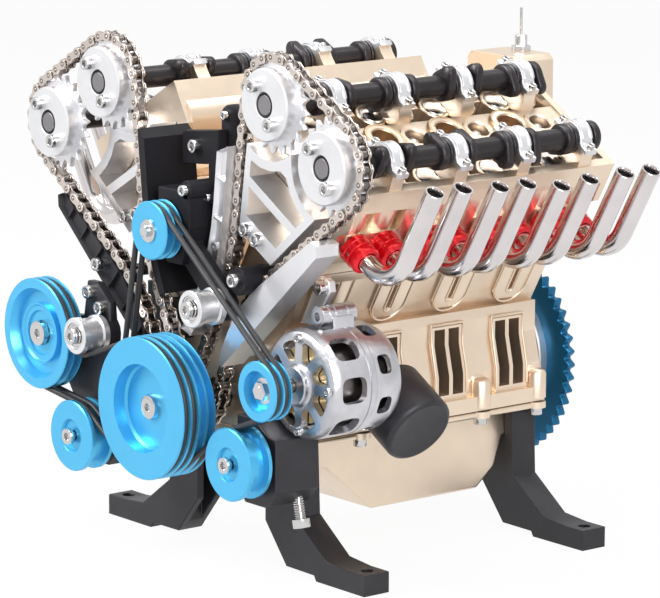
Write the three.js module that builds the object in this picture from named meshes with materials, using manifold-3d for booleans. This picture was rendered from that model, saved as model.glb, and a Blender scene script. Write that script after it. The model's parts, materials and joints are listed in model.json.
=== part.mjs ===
// Display model of a four stroke V8 engine with open timing gear.
// Millimetres. +X is the side of the right bank, +Y runs to the rear, +Z is up.
// The model is laid out from the crank axis (X = 0, Z = 0) and from the front face of the
// right bank's cam sprockets (Y = 0); the last lines move it onto its base.

import * as THREE from 'three';
import { mergeVertices } from 'three/addons/utils/BufferGeometryUtils.js';
import Module from 'manifold-3d';

const wasm = await Module();
wasm.setup();

// Driving dimensions: clearances
const seatGap = 0.3;             // between pieces that seat on each other
const runGap = 0.3;              // around shafts and in moving fits
const overrun = 1;               // how far a cutter runs past the face that it opens

// Driving dimensions: block
const bankTilt = 30;             // degrees from the vertical to each bank
const cylinderPitch = 27.2;
const cylinderCount = 4;         // on each bank
const boreRadius = 9.6;
const endWall = 13.6;            // from the first cylinder's axis to the front face
const blockFront = 13.5;
const deckHeight = 66;           // crank axis to deck, along the bore
const bankHalfWidth = 15;
const deckFlange = 4;            // how far the deck stands out of the bank's walls
const deckFlangeHeight = 6;
const skirtHalfWidth = 34;
const skirtBulge = 2.5;
const ledgeHeight = 24.8;        // top of the crankcase skirt
const kinkHeight = 3.8;
const railHalfWidth = 39.5;
const railTop = -4.5;
const railBottom = -9.5;
const skirtWall = 3.2;
const valleyHeight = 36;
const bulkheadThickness = 5;

// Driving dimensions: crank train
const crankThrow = 5.5;
const crankAngles = [0, 90, 270, 180];
const pistonTopGap = 4.3;        // from the crown at the top of its stroke to the deck
const crankPinRadius = 3;
const journalRadius = 4;
const noseRadius = 3.4;
const webRadius = 10.4;
const webThickness = 2.4;
const rodThickness = 2.6;
const rodWidth = 2.6;
const rodEyeRadius = 2;
const bigEndWall = 1.9;
const pistonClearance = 0.4;
const pistonWall = 0.6;
const pistonCrown = 2.6;
const pistonHeight = 21;
const flywheelRadius = 36.9;
const flywheelThickness = 3.2;
const flywheelTeeth = 48;
const flywheelToothDepth = 2.5;
const flywheelGap = 13.6;        // behind the block
const flywheelHub = 25.4;

// Driving dimensions: valve gear, in the frame of a bank
const camHeight = 108.8;         // crank axis to the cam line, along the bore
const camSpread = 16.9;          // each cam's distance from the middle of the pair
const camInset = 1.5;            // the pair stands this far inboard of the bore plane
const camShaftRadius = 3.7;
const lobeBase = 5.2;
const lobeReach = 8.2;
const lobeNose = 2.6;
const lobeThickness = 3;
const exhaustPhases = [35, 125, 305, 215];
const intakePhases = [145, 235, 55, 325];
const valveSpread = 5.85;        // each valve's distance from its cylinder, along Y
const camLength = 117;           // right cam, from its sprocket's front face
const chainOffset = 10.4;        // the left chain runs this far in front of the right one

// Driving dimensions: timing gear
const camTeeth = 20;
const crankTeeth = 10;
const usualPitch = 4.76;
const chainWidth = 4.8;
const plateHeight = 3.2;
const plateThickness = 0.8;
const plateStagger = 0.35;       // links lie alternately wider and narrower by this much
const rollerLength = 2.4;        // along the chain
const toothThickness = 1.9;
const toothHeight = 1.1;         // above the pitch circle
const rootDepth = 1.95;          // below the pitch circle
const flangeRadius = 12;
const flangeThickness = 4.6;
const hubRadius = 4.2;
const hubRecess = 2;
const hubScrew = { radius: 2.2, height: 2.5, spread: 7.4, turn: 2.2 };
const chainPlane = 5.6;          // right chain, behind the sprocket's front face
// Each run of a chain bends over a shoe. Its height is the run's own, above the line between
// the two shafts and away from the middle of the loop.
const innerShoe = { radius: 90, at: 0.42, height: 2.4 };
const outerShoe = { radius: 60, at: 0.364, height: -3.2 };
const innerBar = {
  right: { thickness: 5.6, low: 20, high: 89 },
  left: { thickness: 3.4, low: 36, high: 91 },
  chamfer: 4,
};
const outerBar = { low: 20, high: 88, foot: 4.2, waist: [58.5, 11.3], shoulder: [85.7, 16.3], tip: 14 };
const guideAhead = { right: 5.8, left: 2.9 };  // of the chain's plane
const guideBehind = 3.5;
const guideFeet = [0.2, 0.75];    // shares of a guide's length
const guideFoot = 2.2;
const frameFront = 2.6;
const frameWeb = 1.2;
const frameMember = 3.2;
const frameHalfTop = 20.4;
const frameHalfFoot = 9.5;
const frameFoot = 2.5;           // below the deck
const frameBrace = 0.72;         // share of the way from the foot to the cams' recesses

// Driving dimensions: belts and pulleys, X and Z from the crank axis
const groovePitch = 3.25;
const beltSize = 2;
const grooveDepth = 2.6;
const rimEdge = 1.9;             // from the outer groove's middle to the pulley's face
const pulleyGap = 3.25;          // from the left chain's plane to the rear face of the pulleys
const crankPulleyRadius = 23.9;
const crankPulleyRecess = 14.5;
const crankPulleyRecessDepth = 5;
const crankBoreDepth = 7;
const sidePulley = { x: -60, z: 15.7, radius: 19, hub: 9.8, hubDepth: 3.4 };
const pumpPulley = { x: -3.5, z: 58.4, radius: 9.8 };
const alternatorPulley = { x: 54.3, z: 14.1, radius: 9.9, recess: 6.4 };
const spoolLeft = { x: -38, z: -15.9 };
const spoolRight = { x: 40.4, z: -12.3 };
const spoolRadius = 12.1;
const spoolCore = 9.6;
const spoolWidth = 9.4;
const drumLeft = { x: -34.5, z: 19.1 };
const drumRight = { x: 21.3, z: 36.1 };
const drumRadius = 6.2;
const drumCore = 5.5;
const drumWidth = 10.8;
const spindleRadius = 1.6;

// Driving dimensions: heads, in the frame of a bank and from the middle of the cam pair
const headHalfFoot = 19;
const headHalfWidth = 22.3;
const headRoom = camHeight - deckHeight;
const headFloor = deckHeight + 0.42 * headRoom;  // the open floor of the head
const headRail = { top: camHeight - 5.6, depth: 8, inner: 22.6, outer: 26, post: 4.4 };
const headRidge = { half: 7.5, top: camHeight - 6.2 };
const headEndWall = 2.6;
const plugWell = { radius: 4.4, floor: deckHeight + 0.63 * headRoom };
const plugTower = { radius: 7.4, bore: 5, top: camHeight - 4.8 };
const tappetBoss = { radius: 5.4, top: camHeight - 9 };
const capReach = 7.9;
const capHeight = 5.6;           // above the cam's axis
const towerThickness = 5.2;
const exhaustPort = { up: deckHeight + 0.31 * headRoom, half: 4.6, length: 19.6, reach: 22.9 };

// Driving dimensions: exhausts, across and up from the port's face
const exhaustFlange = { length: 23, half: 4.4, thickness: 2.4 };
const exhaustSocket = { radius: 4.3, length: 8 };
const exhaustPipe = {
  radius: 2.95, bore: 2.3, bendRadius: 12.5, straight: 4.1, top: camHeight + 9, mouth: 4,
};

// Driving dimensions: pan, legs and filter
const panHalfWidth = 30;
const panWall = 2;
const panFlange = 2.4;
const panShallow = 22.5;         // below the crank axis
const panDeep = 39.6;
const panSlopeFrom = 19.5;       // from the block's front face
const panSlopeTo = 39.5;
const panRearSlope = 10.8;       // from the block's rear face
const panRearCorner = 22.3;
const baseDepth = 55.5;          // crank axis to the table
const legThickness = 10.4;
const legFront = 16.3;
const legRear = 112.2;
const legPad = { inner: 45.7, outer: 71, top: 7.1, hole: 2.2, holeAt: 66 };
const legSlot = { width: 5, depth: 8 };
const filter = { y: 45, radius: 12.5, near: 46.8, far: 63.5, height: 4.6, drop: 30, neck: 5.4 };

// Driving dimensions: pump, alternator, brackets and rear housing
const pumpBody = { half: 8.5, foot: 4.2, bottom: 47, shoulder: 60, top: 72, face: 7.6 };
const alternator = { front: 1.6, rear: 33, radius: 18.4, wall: 2.2, rotor: 13.4, lug: 4.6 };
const alternatorWindows = 8;
const armThickness = 4;
const armGap = 2.2;              // from the left pulleys' rear faces to their arm
const armHalfWidth = 5.6;
const bracketInner = panHalfWidth + 2 * seatGap;
const bracketTop = 1.5;
const bracketBottom = 27.5;
const bracketOuter = spoolRight.x + 10.6;
const screwHead = 2.9;
const screwHeadHeight = 1.7;
const rearBody = {
  near: 8.9, depth: 17, half: 17, waist: 13, shoulder: 78, neck: 8, top: 106, bottom: 52.6, edge: 2,
};
const rearMount = { half: 9, bottom: 53, top: 66 };
const toggle = { at: 13.4, bush: 2.2, bore: 1.35, bushHeight: 5.5, nut: 3.6, nutHeight: 1.8, ball: 0.85 };
const lever = { radius: 0.55, length: 10.7 };
const leverPivot = rearBody.top + toggle.bushHeight - 1;

// Facets round a circle, by the size of what it goes round
const facetsLarge = 16;
const facetsMedium = 10;
const facetsSmall = 8;
const facetsTiny = 6;
const chordShare = 0.95;         // of the running gap, taken up by a belt's flat chords

// Finishes: colour, roughness, metalness
const finish = (colour, roughness, metalness) =>
  new THREE.MeshStandardMaterial({ color: colour, roughness, metalness });
const gold = finish(0xd9c09a, 0.42, 0.85);
const silver = finish(0xc9cacc, 0.3, 0.95);
const castSilver = finish(0xb9babc, 0.55, 0.8);
const blackSteel = finish(0x2c2b2d, 0.4, 0.8);
const blackPaint = finish(0x1c1b1d, 0.5, 0.3);
const skyBlue = finish(0x3fa9dc, 0.35, 0.75);
const rubber = finish(0x17171a, 0.7, 0);
const redGloss = finish(0xc40e22, 0.25, 0.35);
const polished = finish(0xd2d3d6, 0.15, 1);
const chainSteel = finish(0xb9a9a0, 0.35, 0.95);

// Solids

const weld = 1e-5;
const degrees = Math.PI / 180;

// A closed geometry as a solid that faces outwards, whichever way its faces were wound.
function solid(geometry) {
  const bare = geometry.index ? geometry.toNonIndexed() : geometry.clone();
  bare.deleteAttribute('normal');
  bare.deleteAttribute('uv');
  const merged = mergeVertices(bare, weld);
  const place = merged.attributes.position;
  const index = merged.index.array;
  const corner = [new THREE.Vector3(), new THREE.Vector3(), new THREE.Vector3()];
  const faces = [];
  let volume = 0;
  for (let i = 0; i < index.length; i += 3) {
    const [a, b, c] = [index[i], index[i + 1], index[i + 2]];
    if (a === b || b === c || c === a) continue;
    [a, b, c].forEach((vertex, k) => corner[k].fromBufferAttribute(place, vertex));
    volume += corner[0].dot(corner[1].cross(corner[2]));
    faces.push(a, b, c);
  }
  if (volume < 0) {
    for (let i = 0; i < faces.length; i += 3) {
      [faces[i], faces[i + 1]] = [faces[i + 1], faces[i]];
    }
  }
  return new wasm.Manifold(new wasm.Mesh({
    numProp: 3,
    vertProperties: Float32Array.from(place.array),
    triVerts: Uint32Array.from(faces),
  }));
}

function geometryOf(body) {
  const mesh = body.getMesh();
  const geometry = new THREE.BufferGeometry();
  geometry.setAttribute('position', new THREE.BufferAttribute(new Float32Array(mesh.vertProperties), 3));
  geometry.setIndex([...mesh.triVerts]);
  return geometry;
}

const joined = (...bodies) => bodies.flat().reduce((sum, body) => sum.add(body));
const without = (body, ...cutters) => cutters.flat().reduce((rest, cutter) => rest.subtract(cutter), body);

// A solid moved by a matrix; a mirrored one is turned the right way out again.
function moved(body, matrix) {
  return solid(geometryOf(body).applyMatrix4(matrix));
}
const shifted = (body, x, y, z) => moved(body, new THREE.Matrix4().makeTranslation(x, y, z));
const mirrored = (body) => moved(body, new THREE.Matrix4().makeScale(-1, 1, 1));
const turnedY = (body, angle) => moved(body, new THREE.Matrix4().makeRotationY(angle));

// A plate: an outline in X and Z, with holes, drawn out along Y.
function plate(points, y0, y1, holes = []) {
  const shape = new THREE.Shape(points.map(([x, z]) => new THREE.Vector2(x, z)));
  shape.holes = holes.map((hole) => new THREE.Path(hole.map(([x, z]) => new THREE.Vector2(x, z))));
  const geometry = new THREE.ExtrudeGeometry(shape, { depth: y1 - y0, bevelEnabled: false });
  geometry.rotateX(Math.PI / 2);
  geometry.translate(0, y1, 0);
  return solid(geometry);
}

// A turned piece: a profile of radius and Y, closed on the axis or on itself.
function turned(profile, facets) {
  const points = profile.map(([radius, y]) => new THREE.Vector2(radius, y));
  return solid(new THREE.LatheGeometry(points, facets));
}

const rod = (radius, y0, y1, facets) => turned([[0, y0], [radius, y0], [radius, y1], [0, y1]], facets);

// A rod that stands along Z, or along X, instead of Y.
const post = (radius, z0, z1, facets) =>
  moved(rod(radius, z0, z1, facets), new THREE.Matrix4().makeRotationX(Math.PI / 2));
const bar = (radius, x0, x1, facets) =>
  moved(rod(radius, x0, x1, facets), new THREE.Matrix4().makeRotationZ(-Math.PI / 2));

function box(x0, x1, y0, y1, z0, z1) {
  const geometry = new THREE.BoxGeometry(x1 - x0, y1 - y0, z1 - z0);
  geometry.translate((x0 + x1) / 2, (y0 + y1) / 2, (z0 + z1) / 2);
  return solid(geometry);
}

// Points of a circle, or of a part of one, as an outline.
function ring(radius, facets, x = 0, z = 0, start = 0) {
  return Array.from({ length: facets }, (_, i) => {
    const angle = start + (i * 2 * Math.PI) / facets;
    return [x + radius * Math.cos(angle), z + radius * Math.sin(angle)];
  });
}

function arc(radius, from, to, steps, x = 0, z = 0) {
  return Array.from({ length: steps + 1 }, (_, i) => {
    const angle = from + ((to - from) * i) / steps;
    return [x + radius * Math.cos(angle), z + radius * Math.sin(angle)];
  });
}

const cylinders = Array.from({ length: cylinderCount }, (_, i) => blockFront + endWall + i * cylinderPitch);
const blockRear = cylinders[cylinderCount - 1] + endWall;
const tilt = bankTilt * degrees;

// Places in a bank: across (outboard) and up (along the bore), as X and Z of the right bank.
const inBank = (across, up) => [
  across * Math.cos(tilt) + up * Math.sin(tilt),
  up * Math.cos(tilt) - across * Math.sin(tilt),
];
const exhaustCam = camSpread - camInset;
const intakeCam = -camSpread - camInset;

// Routes of chains and belts

// A closed route round wheels in a plane, run anticlockwise. A wheel's turn is 1 inside the
// loop and -1 where the back of the loop rides on it; spare moves the route outwards.
function routeRound(wheels, spare = 0) {
  const round = wheels.map(({ x, z, radius, turn = 1 }) => ({ x, z, reach: turn * radius + spare }));
  const headings = round.map((here, i) => {
    const next = round[(i + 1) % round.length];
    const span = Math.hypot(next.x - here.x, next.z - here.z);
    return Math.atan2(next.z - here.z, next.x - here.x) - Math.asin((next.reach - here.reach) / span);
  });
  const onWheel = ({ x, z, reach }, heading) =>
    [x + reach * Math.sin(heading), z - reach * Math.cos(heading)];
  const pieces = [];
  round.forEach((wheel, i) => {
    const from = headings[(i + round.length - 1) % round.length];
    const sign = Math.sign(wheel.reach);
    const full = 2 * Math.PI;
    const sweep = sign * ((((sign * (headings[i] - from)) % full) + full) % full);
    pieces.push({ wheel, from, sweep, length: Math.abs(sweep * wheel.reach) });
    const start = onWheel(wheel, headings[i]);
    const end = onWheel(round[(i + 1) % round.length], headings[i]);
    pieces.push({ start, end, length: Math.hypot(end[0] - start[0], end[1] - start[1]) });
  });
  const length = pieces.reduce((sum, piece) => sum + piece.length, 0);
  const at = (distance) => {
    let left = distance % length;
    const piece = pieces.find((candidate) => {
      if (left <= candidate.length) return true;
      left -= candidate.length;
      return false;
    });
    const share = left / piece.length;
    if (piece.wheel) return onWheel(piece.wheel, piece.from + piece.sweep * share);
    return piece.start.map((value, k) => value + (piece.end[k] - value) * share);
  };
  return { pieces, at, length, onWheel };
}

// The outline of a belt's one side: arcs in steps, with straight runs between them.
function beltOutline(wheels, spare) {
  const { pieces, onWheel } = routeRound(wheels, spare);
  return pieces.filter((piece) => piece.wheel).flatMap(({ wheel, from, sweep }) => {
    const step = 2 * Math.acos(1 - (chordShare * runGap) / Math.abs(wheel.reach));
    const steps = Math.max(2, Math.ceil(Math.abs(sweep) / step));
    return Array.from({ length: steps + 1 }, (_, i) => onWheel(wheel, from + (sweep * i) / steps));
  });
}

// Pins of a chain, each one pitch from the last in a straight line.
function pinsAlong(route, count, pitch) {
  const pins = [];
  let distance = 0;
  for (let i = 0; i < count; i += 1) {
    const here = route.at(distance);
    pins.push(here);
    let low = distance;
    let high = distance + 1.2 * pitch;
    for (let pass = 0; pass < 40; pass += 1) {
      const middle = (low + high) / 2;
      const there = route.at(middle);
      if (Math.hypot(there[0] - here[0], there[1] - here[1]) < pitch) low = middle;
      else high = middle;
    }
    distance = high;
  }
  return { pins, excess: distance - route.length };
}

// Timing chain of the right bank: round the crank sprocket and both cam sprockets, with its
// inner run bowed over a curved shoe.
const [exhaustX, exhaustZ] = inBank(exhaustCam, camHeight);
const [intakeX, intakeZ] = inBank(intakeCam, camHeight);
const pitchRadius = (teeth, pitch) => pitch / (2 * Math.sin(Math.PI / teeth));

// Places beside the line from the crank to a cam: along it, and away from the loop's middle.
function lineTo(x, z, side) {
  const span = Math.hypot(x, z);
  const [alongX, alongZ] = [x / span, z / span];
  const place = (along, away) => [
    alongX * along + side * alongZ * away,
    alongZ * along - side * alongX * away,
  ];
  return { span, place };
}
const outerLine = lineTo(exhaustX, exhaustZ, 1);
const innerLine = lineTo(intakeX, intakeZ, -1);

function shoeWheel(line, shoe) {
  const [x, z] = line.place(shoe.at * line.span, shoe.height + shoe.radius);
  return { x, z, radius: shoe.radius, turn: -1 };
}

function chainWheels(pitch) {
  const cam = pitchRadius(camTeeth, pitch);
  return [
    { x: 0, z: 0, radius: pitchRadius(crankTeeth, pitch) },
    shoeWheel(outerLine, outerShoe),
    { x: exhaustX, z: exhaustZ, radius: cam },
    { x: intakeX, z: intakeZ, radius: cam },
    shoeWheel(innerLine, innerShoe),
  ];
}

// The chain has a whole, even number of links, and its pitch is trimmed until it closes.
const linkCount = 2 * Math.round(routeRound(chainWheels(usualPitch)).length / usualPitch / 2);

function closingPitch() {
  let low = 0.95 * usualPitch;
  let high = 1.05 * usualPitch;
  for (let pass = 0; pass < 40; pass += 1) {
    const middle = (low + high) / 2;
    if (pinsAlong(routeRound(chainWheels(middle)), linkCount, middle).excess < 0) low = middle;
    else high = middle;
  }
  return (low + high) / 2;
}

const chainPitch = closingPitch();
const wheels = chainWheels(chainPitch);
const [crankWheel, , exhaustWheel, intakeWheel] = wheels;
const chainRoute = routeRound(wheels);
const { pins, excess } = pinsAlong(chainRoute, linkCount, chainPitch);

const chainHalf = plateHeight / 2;
const leftPlane = chainPlane - chainOffset;
const pulleyRear = leftPlane - pulleyGap;
const grooveYs = [3, 2, 1, 0].map((n) => pulleyRear - rimEdge - n * groovePitch);
const leftPair = grooveYs.slice(0, 2);
const rightPair = grooveYs.slice(2);
const middleOf = ([a, b]) => (a + b) / 2;
const pulleyFront = leftPair[0] - rimEdge;

// Block

const bankWallAt = (side, z) => inBank(side, (z + side * Math.sin(tilt)) / Math.cos(tilt));
const flangeFoot = deckHeight - deckFlangeHeight;

function bothSides(rightHalf) {
  return [...rightHalf, ...rightHalf.slice().reverse().map(([x, z]) => [-x, z])];
}

function skirtSide(reach) {
  return [
    [skirtHalfWidth + skirtBulge + reach, railTop],
    [skirtHalfWidth + skirtBulge + reach, kinkHeight],
    [skirtHalfWidth + reach, (kinkHeight + ledgeHeight) / 2],
    [skirtHalfWidth + reach, ledgeHeight],
  ];
}

function blockOutline() {
  return bothSides([
    [railHalfWidth, railBottom],
    [railHalfWidth, railTop],
    ...skirtSide(0),
    bankWallAt(bankHalfWidth, ledgeHeight),
    inBank(bankHalfWidth, flangeFoot),
    inBank(bankHalfWidth + deckFlange, flangeFoot + deckFlange / 2),
    inBank(bankHalfWidth + deckFlange, deckHeight),
    inBank(-bankHalfWidth - deckFlange, deckHeight),
    inBank(-bankHalfWidth - deckFlange, flangeFoot + deckFlange / 2),
    inBank(-bankHalfWidth, flangeFoot),
    bankWallAt(-bankHalfWidth, valleyHeight),
  ]);
}

const bayHalf = (cylinderPitch - bulkheadThickness) / 2;
const slotTop = ledgeHeight - 1.6 * skirtWall;
const slotHalf = 0.2 * cylinderPitch;
const slotRib = 0.06 * cylinderPitch;
const panelHalf = 0.29 * cylinderPitch;
const panelTop = flangeFoot;
const panelBottom = panelTop - 0.72 * cylinderPitch;
const panelRise = 0.9;

// A panel: an outline in Y and Z drawn out along X.
function panel(points, x0, x1, holes = []) {
  const turn = new THREE.Matrix4().makeBasis(
    new THREE.Vector3(0, 1, 0), new THREE.Vector3(1, 0, 0), new THREE.Vector3(0, 0, 1));
  return moved(plate(points, x0, x1, holes), turn);
}

function bankWork() {
  const added = [];
  const cut = [];
  cylinders.forEach((y) => {
    added.push(panel([
      [y - panelHalf, panelTop], [y - panelHalf, panelBottom + panelHalf / 2],
      [y - panelHalf / 2, panelBottom], [y + panelHalf / 2, panelBottom],
      [y + panelHalf, panelBottom + panelHalf / 2], [y + panelHalf, panelTop],
    ], bankHalfWidth - panelRise, bankHalfWidth + panelRise));
    cut.push(box(bankHalfWidth - 2 * panelRise, bankHalfWidth + 2 * panelRise,
      y - slotRib / 2, y + slotRib / 2, panelBottom + panelHalf / 2, panelTop - slotRib));
    cut.push(shifted(post(boreRadius, 0.3 * deckHeight, deckHeight + overrun, facetsMedium), 0, y, 0));
  });
  return { added, cut };
}

function engineBlock() {
  let body = plate(blockOutline(), blockFront, blockRear);
  const inner = bothSides([
    [skirtHalfWidth - skirtWall, railBottom - overrun],
    [skirtHalfWidth - skirtWall, kinkHeight],
    [skirtHalfWidth - 2 * skirtWall, ledgeHeight - 2 * skirtWall],
    [bankHalfWidth, ledgeHeight - skirtWall / 2],
  ]);
  const bays = cylinders.map((y) => plate(inner, y - bayHalf, y + bayHalf));
  const { added, cut } = bankWork();
  const frames = cylinders.map((y) => plate([
    [skirtHalfWidth - panelRise, slotTop + 2 * panelRise],
    [skirtHalfWidth - panelRise, railTop + panelRise],
    ...skirtSide(panelRise).slice(0, 3),
    [skirtHalfWidth + panelRise, slotTop + panelRise],
  ], y - slotHalf - slotRib, y + slotHalf + slotRib));
  const slots = cylinders.flatMap((y) => [-1, 1].map((side) => {
    const middle = y + (side * (slotHalf + slotRib / 2)) / 2;
    const half = (slotHalf - slotRib / 2) / 2;
    return box(skirtHalfWidth - 2 * skirtWall, railHalfWidth + overrun,
      middle - half, middle + half, railTop + 2 * panelRise, slotTop);
  }));
  const rightAdded = [...added.map((piece) => turnedY(piece, tilt)), ...frames];
  const rightCut = [...cut.map((piece) => turnedY(piece, tilt)), ...slots];
  const wall = box(-pumpBody.half, pumpBody.half, blockFront, blockFront + bulkheadThickness,
    valleyHeight - overrun, pumpBody.top);
  const rearWall = box(-rearMount.half, rearMount.half, blockRear - bulkheadThickness, blockRear,
    valleyHeight - overrun, rearMount.top);
  body = joined(body, wall, rearWall, rightAdded, rightAdded.map(mirrored));
  return without(body, bays, rightCut, rightCut.map(mirrored),
    rod(journalRadius + 1.6 * runGap, blockFront - overrun, blockRear + overrun, facetsSmall));
}

// Pan

const panTop = railBottom - seatGap;

function panOutline(wall) {
  const rearSlope = blockRear - panRearSlope;
  return [
    [blockFront + wall, panTop + (wall ? overrun : 0)],
    [blockFront + wall, -panShallow + wall],
    [blockFront + panSlopeFrom + wall / 2, -panShallow + wall],
    [blockFront + panSlopeTo + wall / 2, -panDeep + wall],
    [blockRear - panRearCorner, -panDeep + wall],
    [blockRear - panRearCorner + (panRearCorner - panRearSlope) * 0.7, -panDeep * 0.83 + wall],
    [rearSlope - wall, -panShallow + wall],
    [blockRear - wall, -panShallow + wall],
    [blockRear - wall, panTop + (wall ? overrun : 0)],
  ];
}

function oilPan() {
  const shell = panel(panOutline(0), -panHalfWidth, panHalfWidth);
  const flange = box(-railHalfWidth, railHalfWidth, blockFront, blockRear, panTop - panFlange, panTop);
  const hollow = panel(panOutline(panWall), panWall - panHalfWidth, panHalfWidth - panWall);
  return without(joined(shell, flange), hollow);
}

// Heads, built upright about the middle of the cam pair

const headFront = blockFront;
const headRear = blockRear;
const headFoot = deckHeight + seatGap;

function cylinderHead() {
  const low = headFoot + 0.25 * (headFloor - headFoot);
  const body = plate([
    [-headHalfFoot, headFoot], [headHalfFoot + camInset, headFoot], [headHalfFoot + camInset, low],
    [headHalfWidth, low + headHalfWidth - headHalfFoot - camInset],
    [headHalfWidth, headFloor], [-headHalfWidth, headFloor],
    [-headHalfWidth, low + headHalfWidth - headHalfFoot - camInset], [-headHalfFoot, low],
  ], headFront, headRear);
  const parts = [
    box(-headRidge.half, headRidge.half, headFront, headRear, headFloor - overrun, headRidge.top),
  ];
  const cut = [];
  const endWall = [
    [-headHalfWidth, headFloor - overrun], [headHalfWidth, headFloor - overrun], [headHalfWidth, headFloor],
    [headRail.outer, headFloor + headRail.outer - headHalfWidth], [headRail.outer, headRail.top],
    [-headRail.outer, headRail.top], [-headRail.outer, headFloor + headRail.outer - headHalfWidth],
    [-headHalfWidth, headFloor],
  ];
  parts.push(plate(endWall, headFront, headFront + headEndWall));
  parts.push(plate(endWall, headRear - headEndWall, headRear));
  const leg = [
    [headRidge.half - overrun, headRidge.top - capReach / 2],
    [camSpread, headRidge.top - capReach / 4], [headRail.inner, headRail.top - headRail.depth / 2],
    [headRail.outer, headRail.top - headRail.depth / 2],
    [camSpread + capReach, camHeight - capReach / 3], [camSpread + capReach, camHeight],
    ...arc(capHeight, 0.15 * Math.PI, 0.85 * Math.PI, 3, camSpread, camHeight),
    [camSpread - capReach, camHeight], [headRidge.half - overrun, headRidge.top - capReach / 3],
  ];
  for (const side of [-1, 1]) {
    const ends = [side * headRail.inner, side * headRail.outer].sort((a, b) => a - b);
    const gusset = [side * (headHalfWidth - headRail.post), side * exhaustPort.reach].sort((a, b) => a - b);
    parts.push(box(...ends, headFront, headRear, headRail.top - headRail.depth, headRail.top));
    cylinders.slice(1).forEach((y) => {
      const between = y - cylinderPitch / 2;
      parts.push(box(...gusset, between - headRail.post / 2, between + headRail.post / 2,
        headFloor - overrun, headRail.top - headRail.depth / 2));
    });
    cylinders.forEach((y) => {
      const tower = plate(leg.map(([x, z]) => [side * x, z]), y - towerThickness / 2, y + towerThickness / 2);
      parts.push(tower);
      for (const valve of [-valveSpread, valveSpread]) {
        parts.push(shifted(post(tappetBoss.radius, headFloor - overrun, tappetBoss.top, facetsTiny),
          side * camSpread, y + valve, 0));
      }
    });
    cut.push(shifted(rod(camShaftRadius + 2 * runGap, headFront - overrun, headRear + overrun, facetsTiny),
      side * camSpread, 0, camHeight));
  }
  cylinders.forEach((y, i) => {
    cut.push(shifted(post(plugWell.radius, plugWell.floor, headRidge.top + overrun, facetsTiny), 0, y, 0));
    parts.push(box(headHalfWidth - overrun, exhaustPort.reach, y - exhaustPort.length / 2,
      y + exhaustPort.length / 2, exhaustPort.up - exhaustPort.half, exhaustPort.up + exhaustPort.half));
    if (i) {
      const between = y - cylinderPitch / 2;
      const tower = post(plugTower.radius, headFloor - overrun, plugTower.top, facetsSmall);
      const well = post(plugTower.bore, plugWell.floor, plugTower.top + overrun, facetsSmall);
      parts.push(shifted(tower, 0, between, 0));
      cut.push(shifted(well, 0, between, 0));
    }
  });
  return without(joined(body, parts), cut);
}
const inHead = (body) => turnedY(shifted(body, -camInset, 0, 0), tilt);

// Timing frames, guides and chains

function timingFrame() {
  const clear = pitchRadius(camTeeth, chainPitch) + toothHeight + 3 * runGap;
  const reach = clear + frameWeb;
  const cusp = Math.sqrt(reach ** 2 - camSpread ** 2);
  const outline = [];
  const end = frameHalfTop - camSpread;
  const sweepTo = Math.atan2(-Math.sqrt(reach ** 2 - end ** 2), end);
  const sweepFrom = Math.atan2(-cusp, -camSpread);
  outline.push(...arc(reach, sweepTo, sweepFrom, 5, camSpread, camHeight));
  outline.push(...arc(reach, sweepTo, sweepFrom, 5, camSpread, camHeight).reverse().slice(1)
    .map(([x, z]) => [-x, z]));
  const foot = deckHeight - frameFoot;
  outline.push([-frameHalfFoot, foot], [frameHalfFoot, foot]);
  const inner = reach + frameMember;
  const room = camHeight - inner - foot;
  const brace = foot + frameBrace * room;
  const bend = Math.asin(camSpread / inner);
  const slope = (frameHalfTop - frameHalfFoot) / (camHeight - reach - foot);
  const sideAt = (z) => frameHalfFoot + slope * (z - foot) - frameMember;
  const corner = -Math.PI / 2 + Math.min(0, (sideAt(camHeight - inner) - camSpread) / inner);
  const innerArc = arc(inner, corner, -Math.PI / 2 - bend * 0.86, 3, camSpread, camHeight);
  const upper = [
    ...innerArc, ...innerArc.slice().reverse().map(([x, z]) => [-x, z]),
    [-sideAt(brace + frameMember / 2), brace + frameMember / 2],
    [sideAt(brace + frameMember / 2), brace + frameMember / 2],
  ];
  const lower = [
    [sideAt(brace - frameMember / 2), brace - frameMember / 2],
    [-sideAt(brace - frameMember / 2), brace - frameMember / 2],
    [-sideAt(foot + 2 * frameMember), foot + 2 * frameMember],
    [sideAt(foot + 2 * frameMember), foot + 2 * frameMember],
  ];
  const windows = room > 6 * frameMember ? [upper, lower] : [];
  return plate(outline, frameFront, blockFront - seatGap, windows);
}

// The side of a guide that lies along its run: over the shoe, then straight towards the cam.
function besideRun(line, shoe, low, high) {
  const cam = exhaustWheel.radius;
  const radius = shoe.radius - chainHalf - runGap;
  const middle = shoe.at * line.span;
  const rise = shoe.height + shoe.radius;
  const reach = Math.hypot(line.span - middle, rise);
  const lean = Math.asin((shoe.radius + cam) / reach) - Math.atan2(rise, line.span - middle);
  const from = Math.asin(Math.max(-1, (low - middle) / radius));
  const steps = 6;
  const side = Array.from({ length: steps + 1 }, (_, i) => {
    const turn = from + ((lean - from) * i) / steps;
    return [middle + radius * Math.sin(turn), rise - radius * Math.cos(turn)];
  });
  const [along, away] = side[steps];
  side.push([high, away + (high - along) * Math.tan(lean)]);
  return side;
}

// A guide: an outline beside its line, and two round feet from its back to the block.
function guide(line, outline, middle, front, rear) {
  const bar = plate(outline.map((point) => line.place(...point)), front, rear);
  const feet = guideFeet.map((share) => {
    const [x, z] = line.place(...middle(share));
    return shifted(rod(guideFoot, rear - overrun, blockFront - seatGap, facetsSmall), x, 0, z);
  });
  return joined(bar, feet);
}

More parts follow.
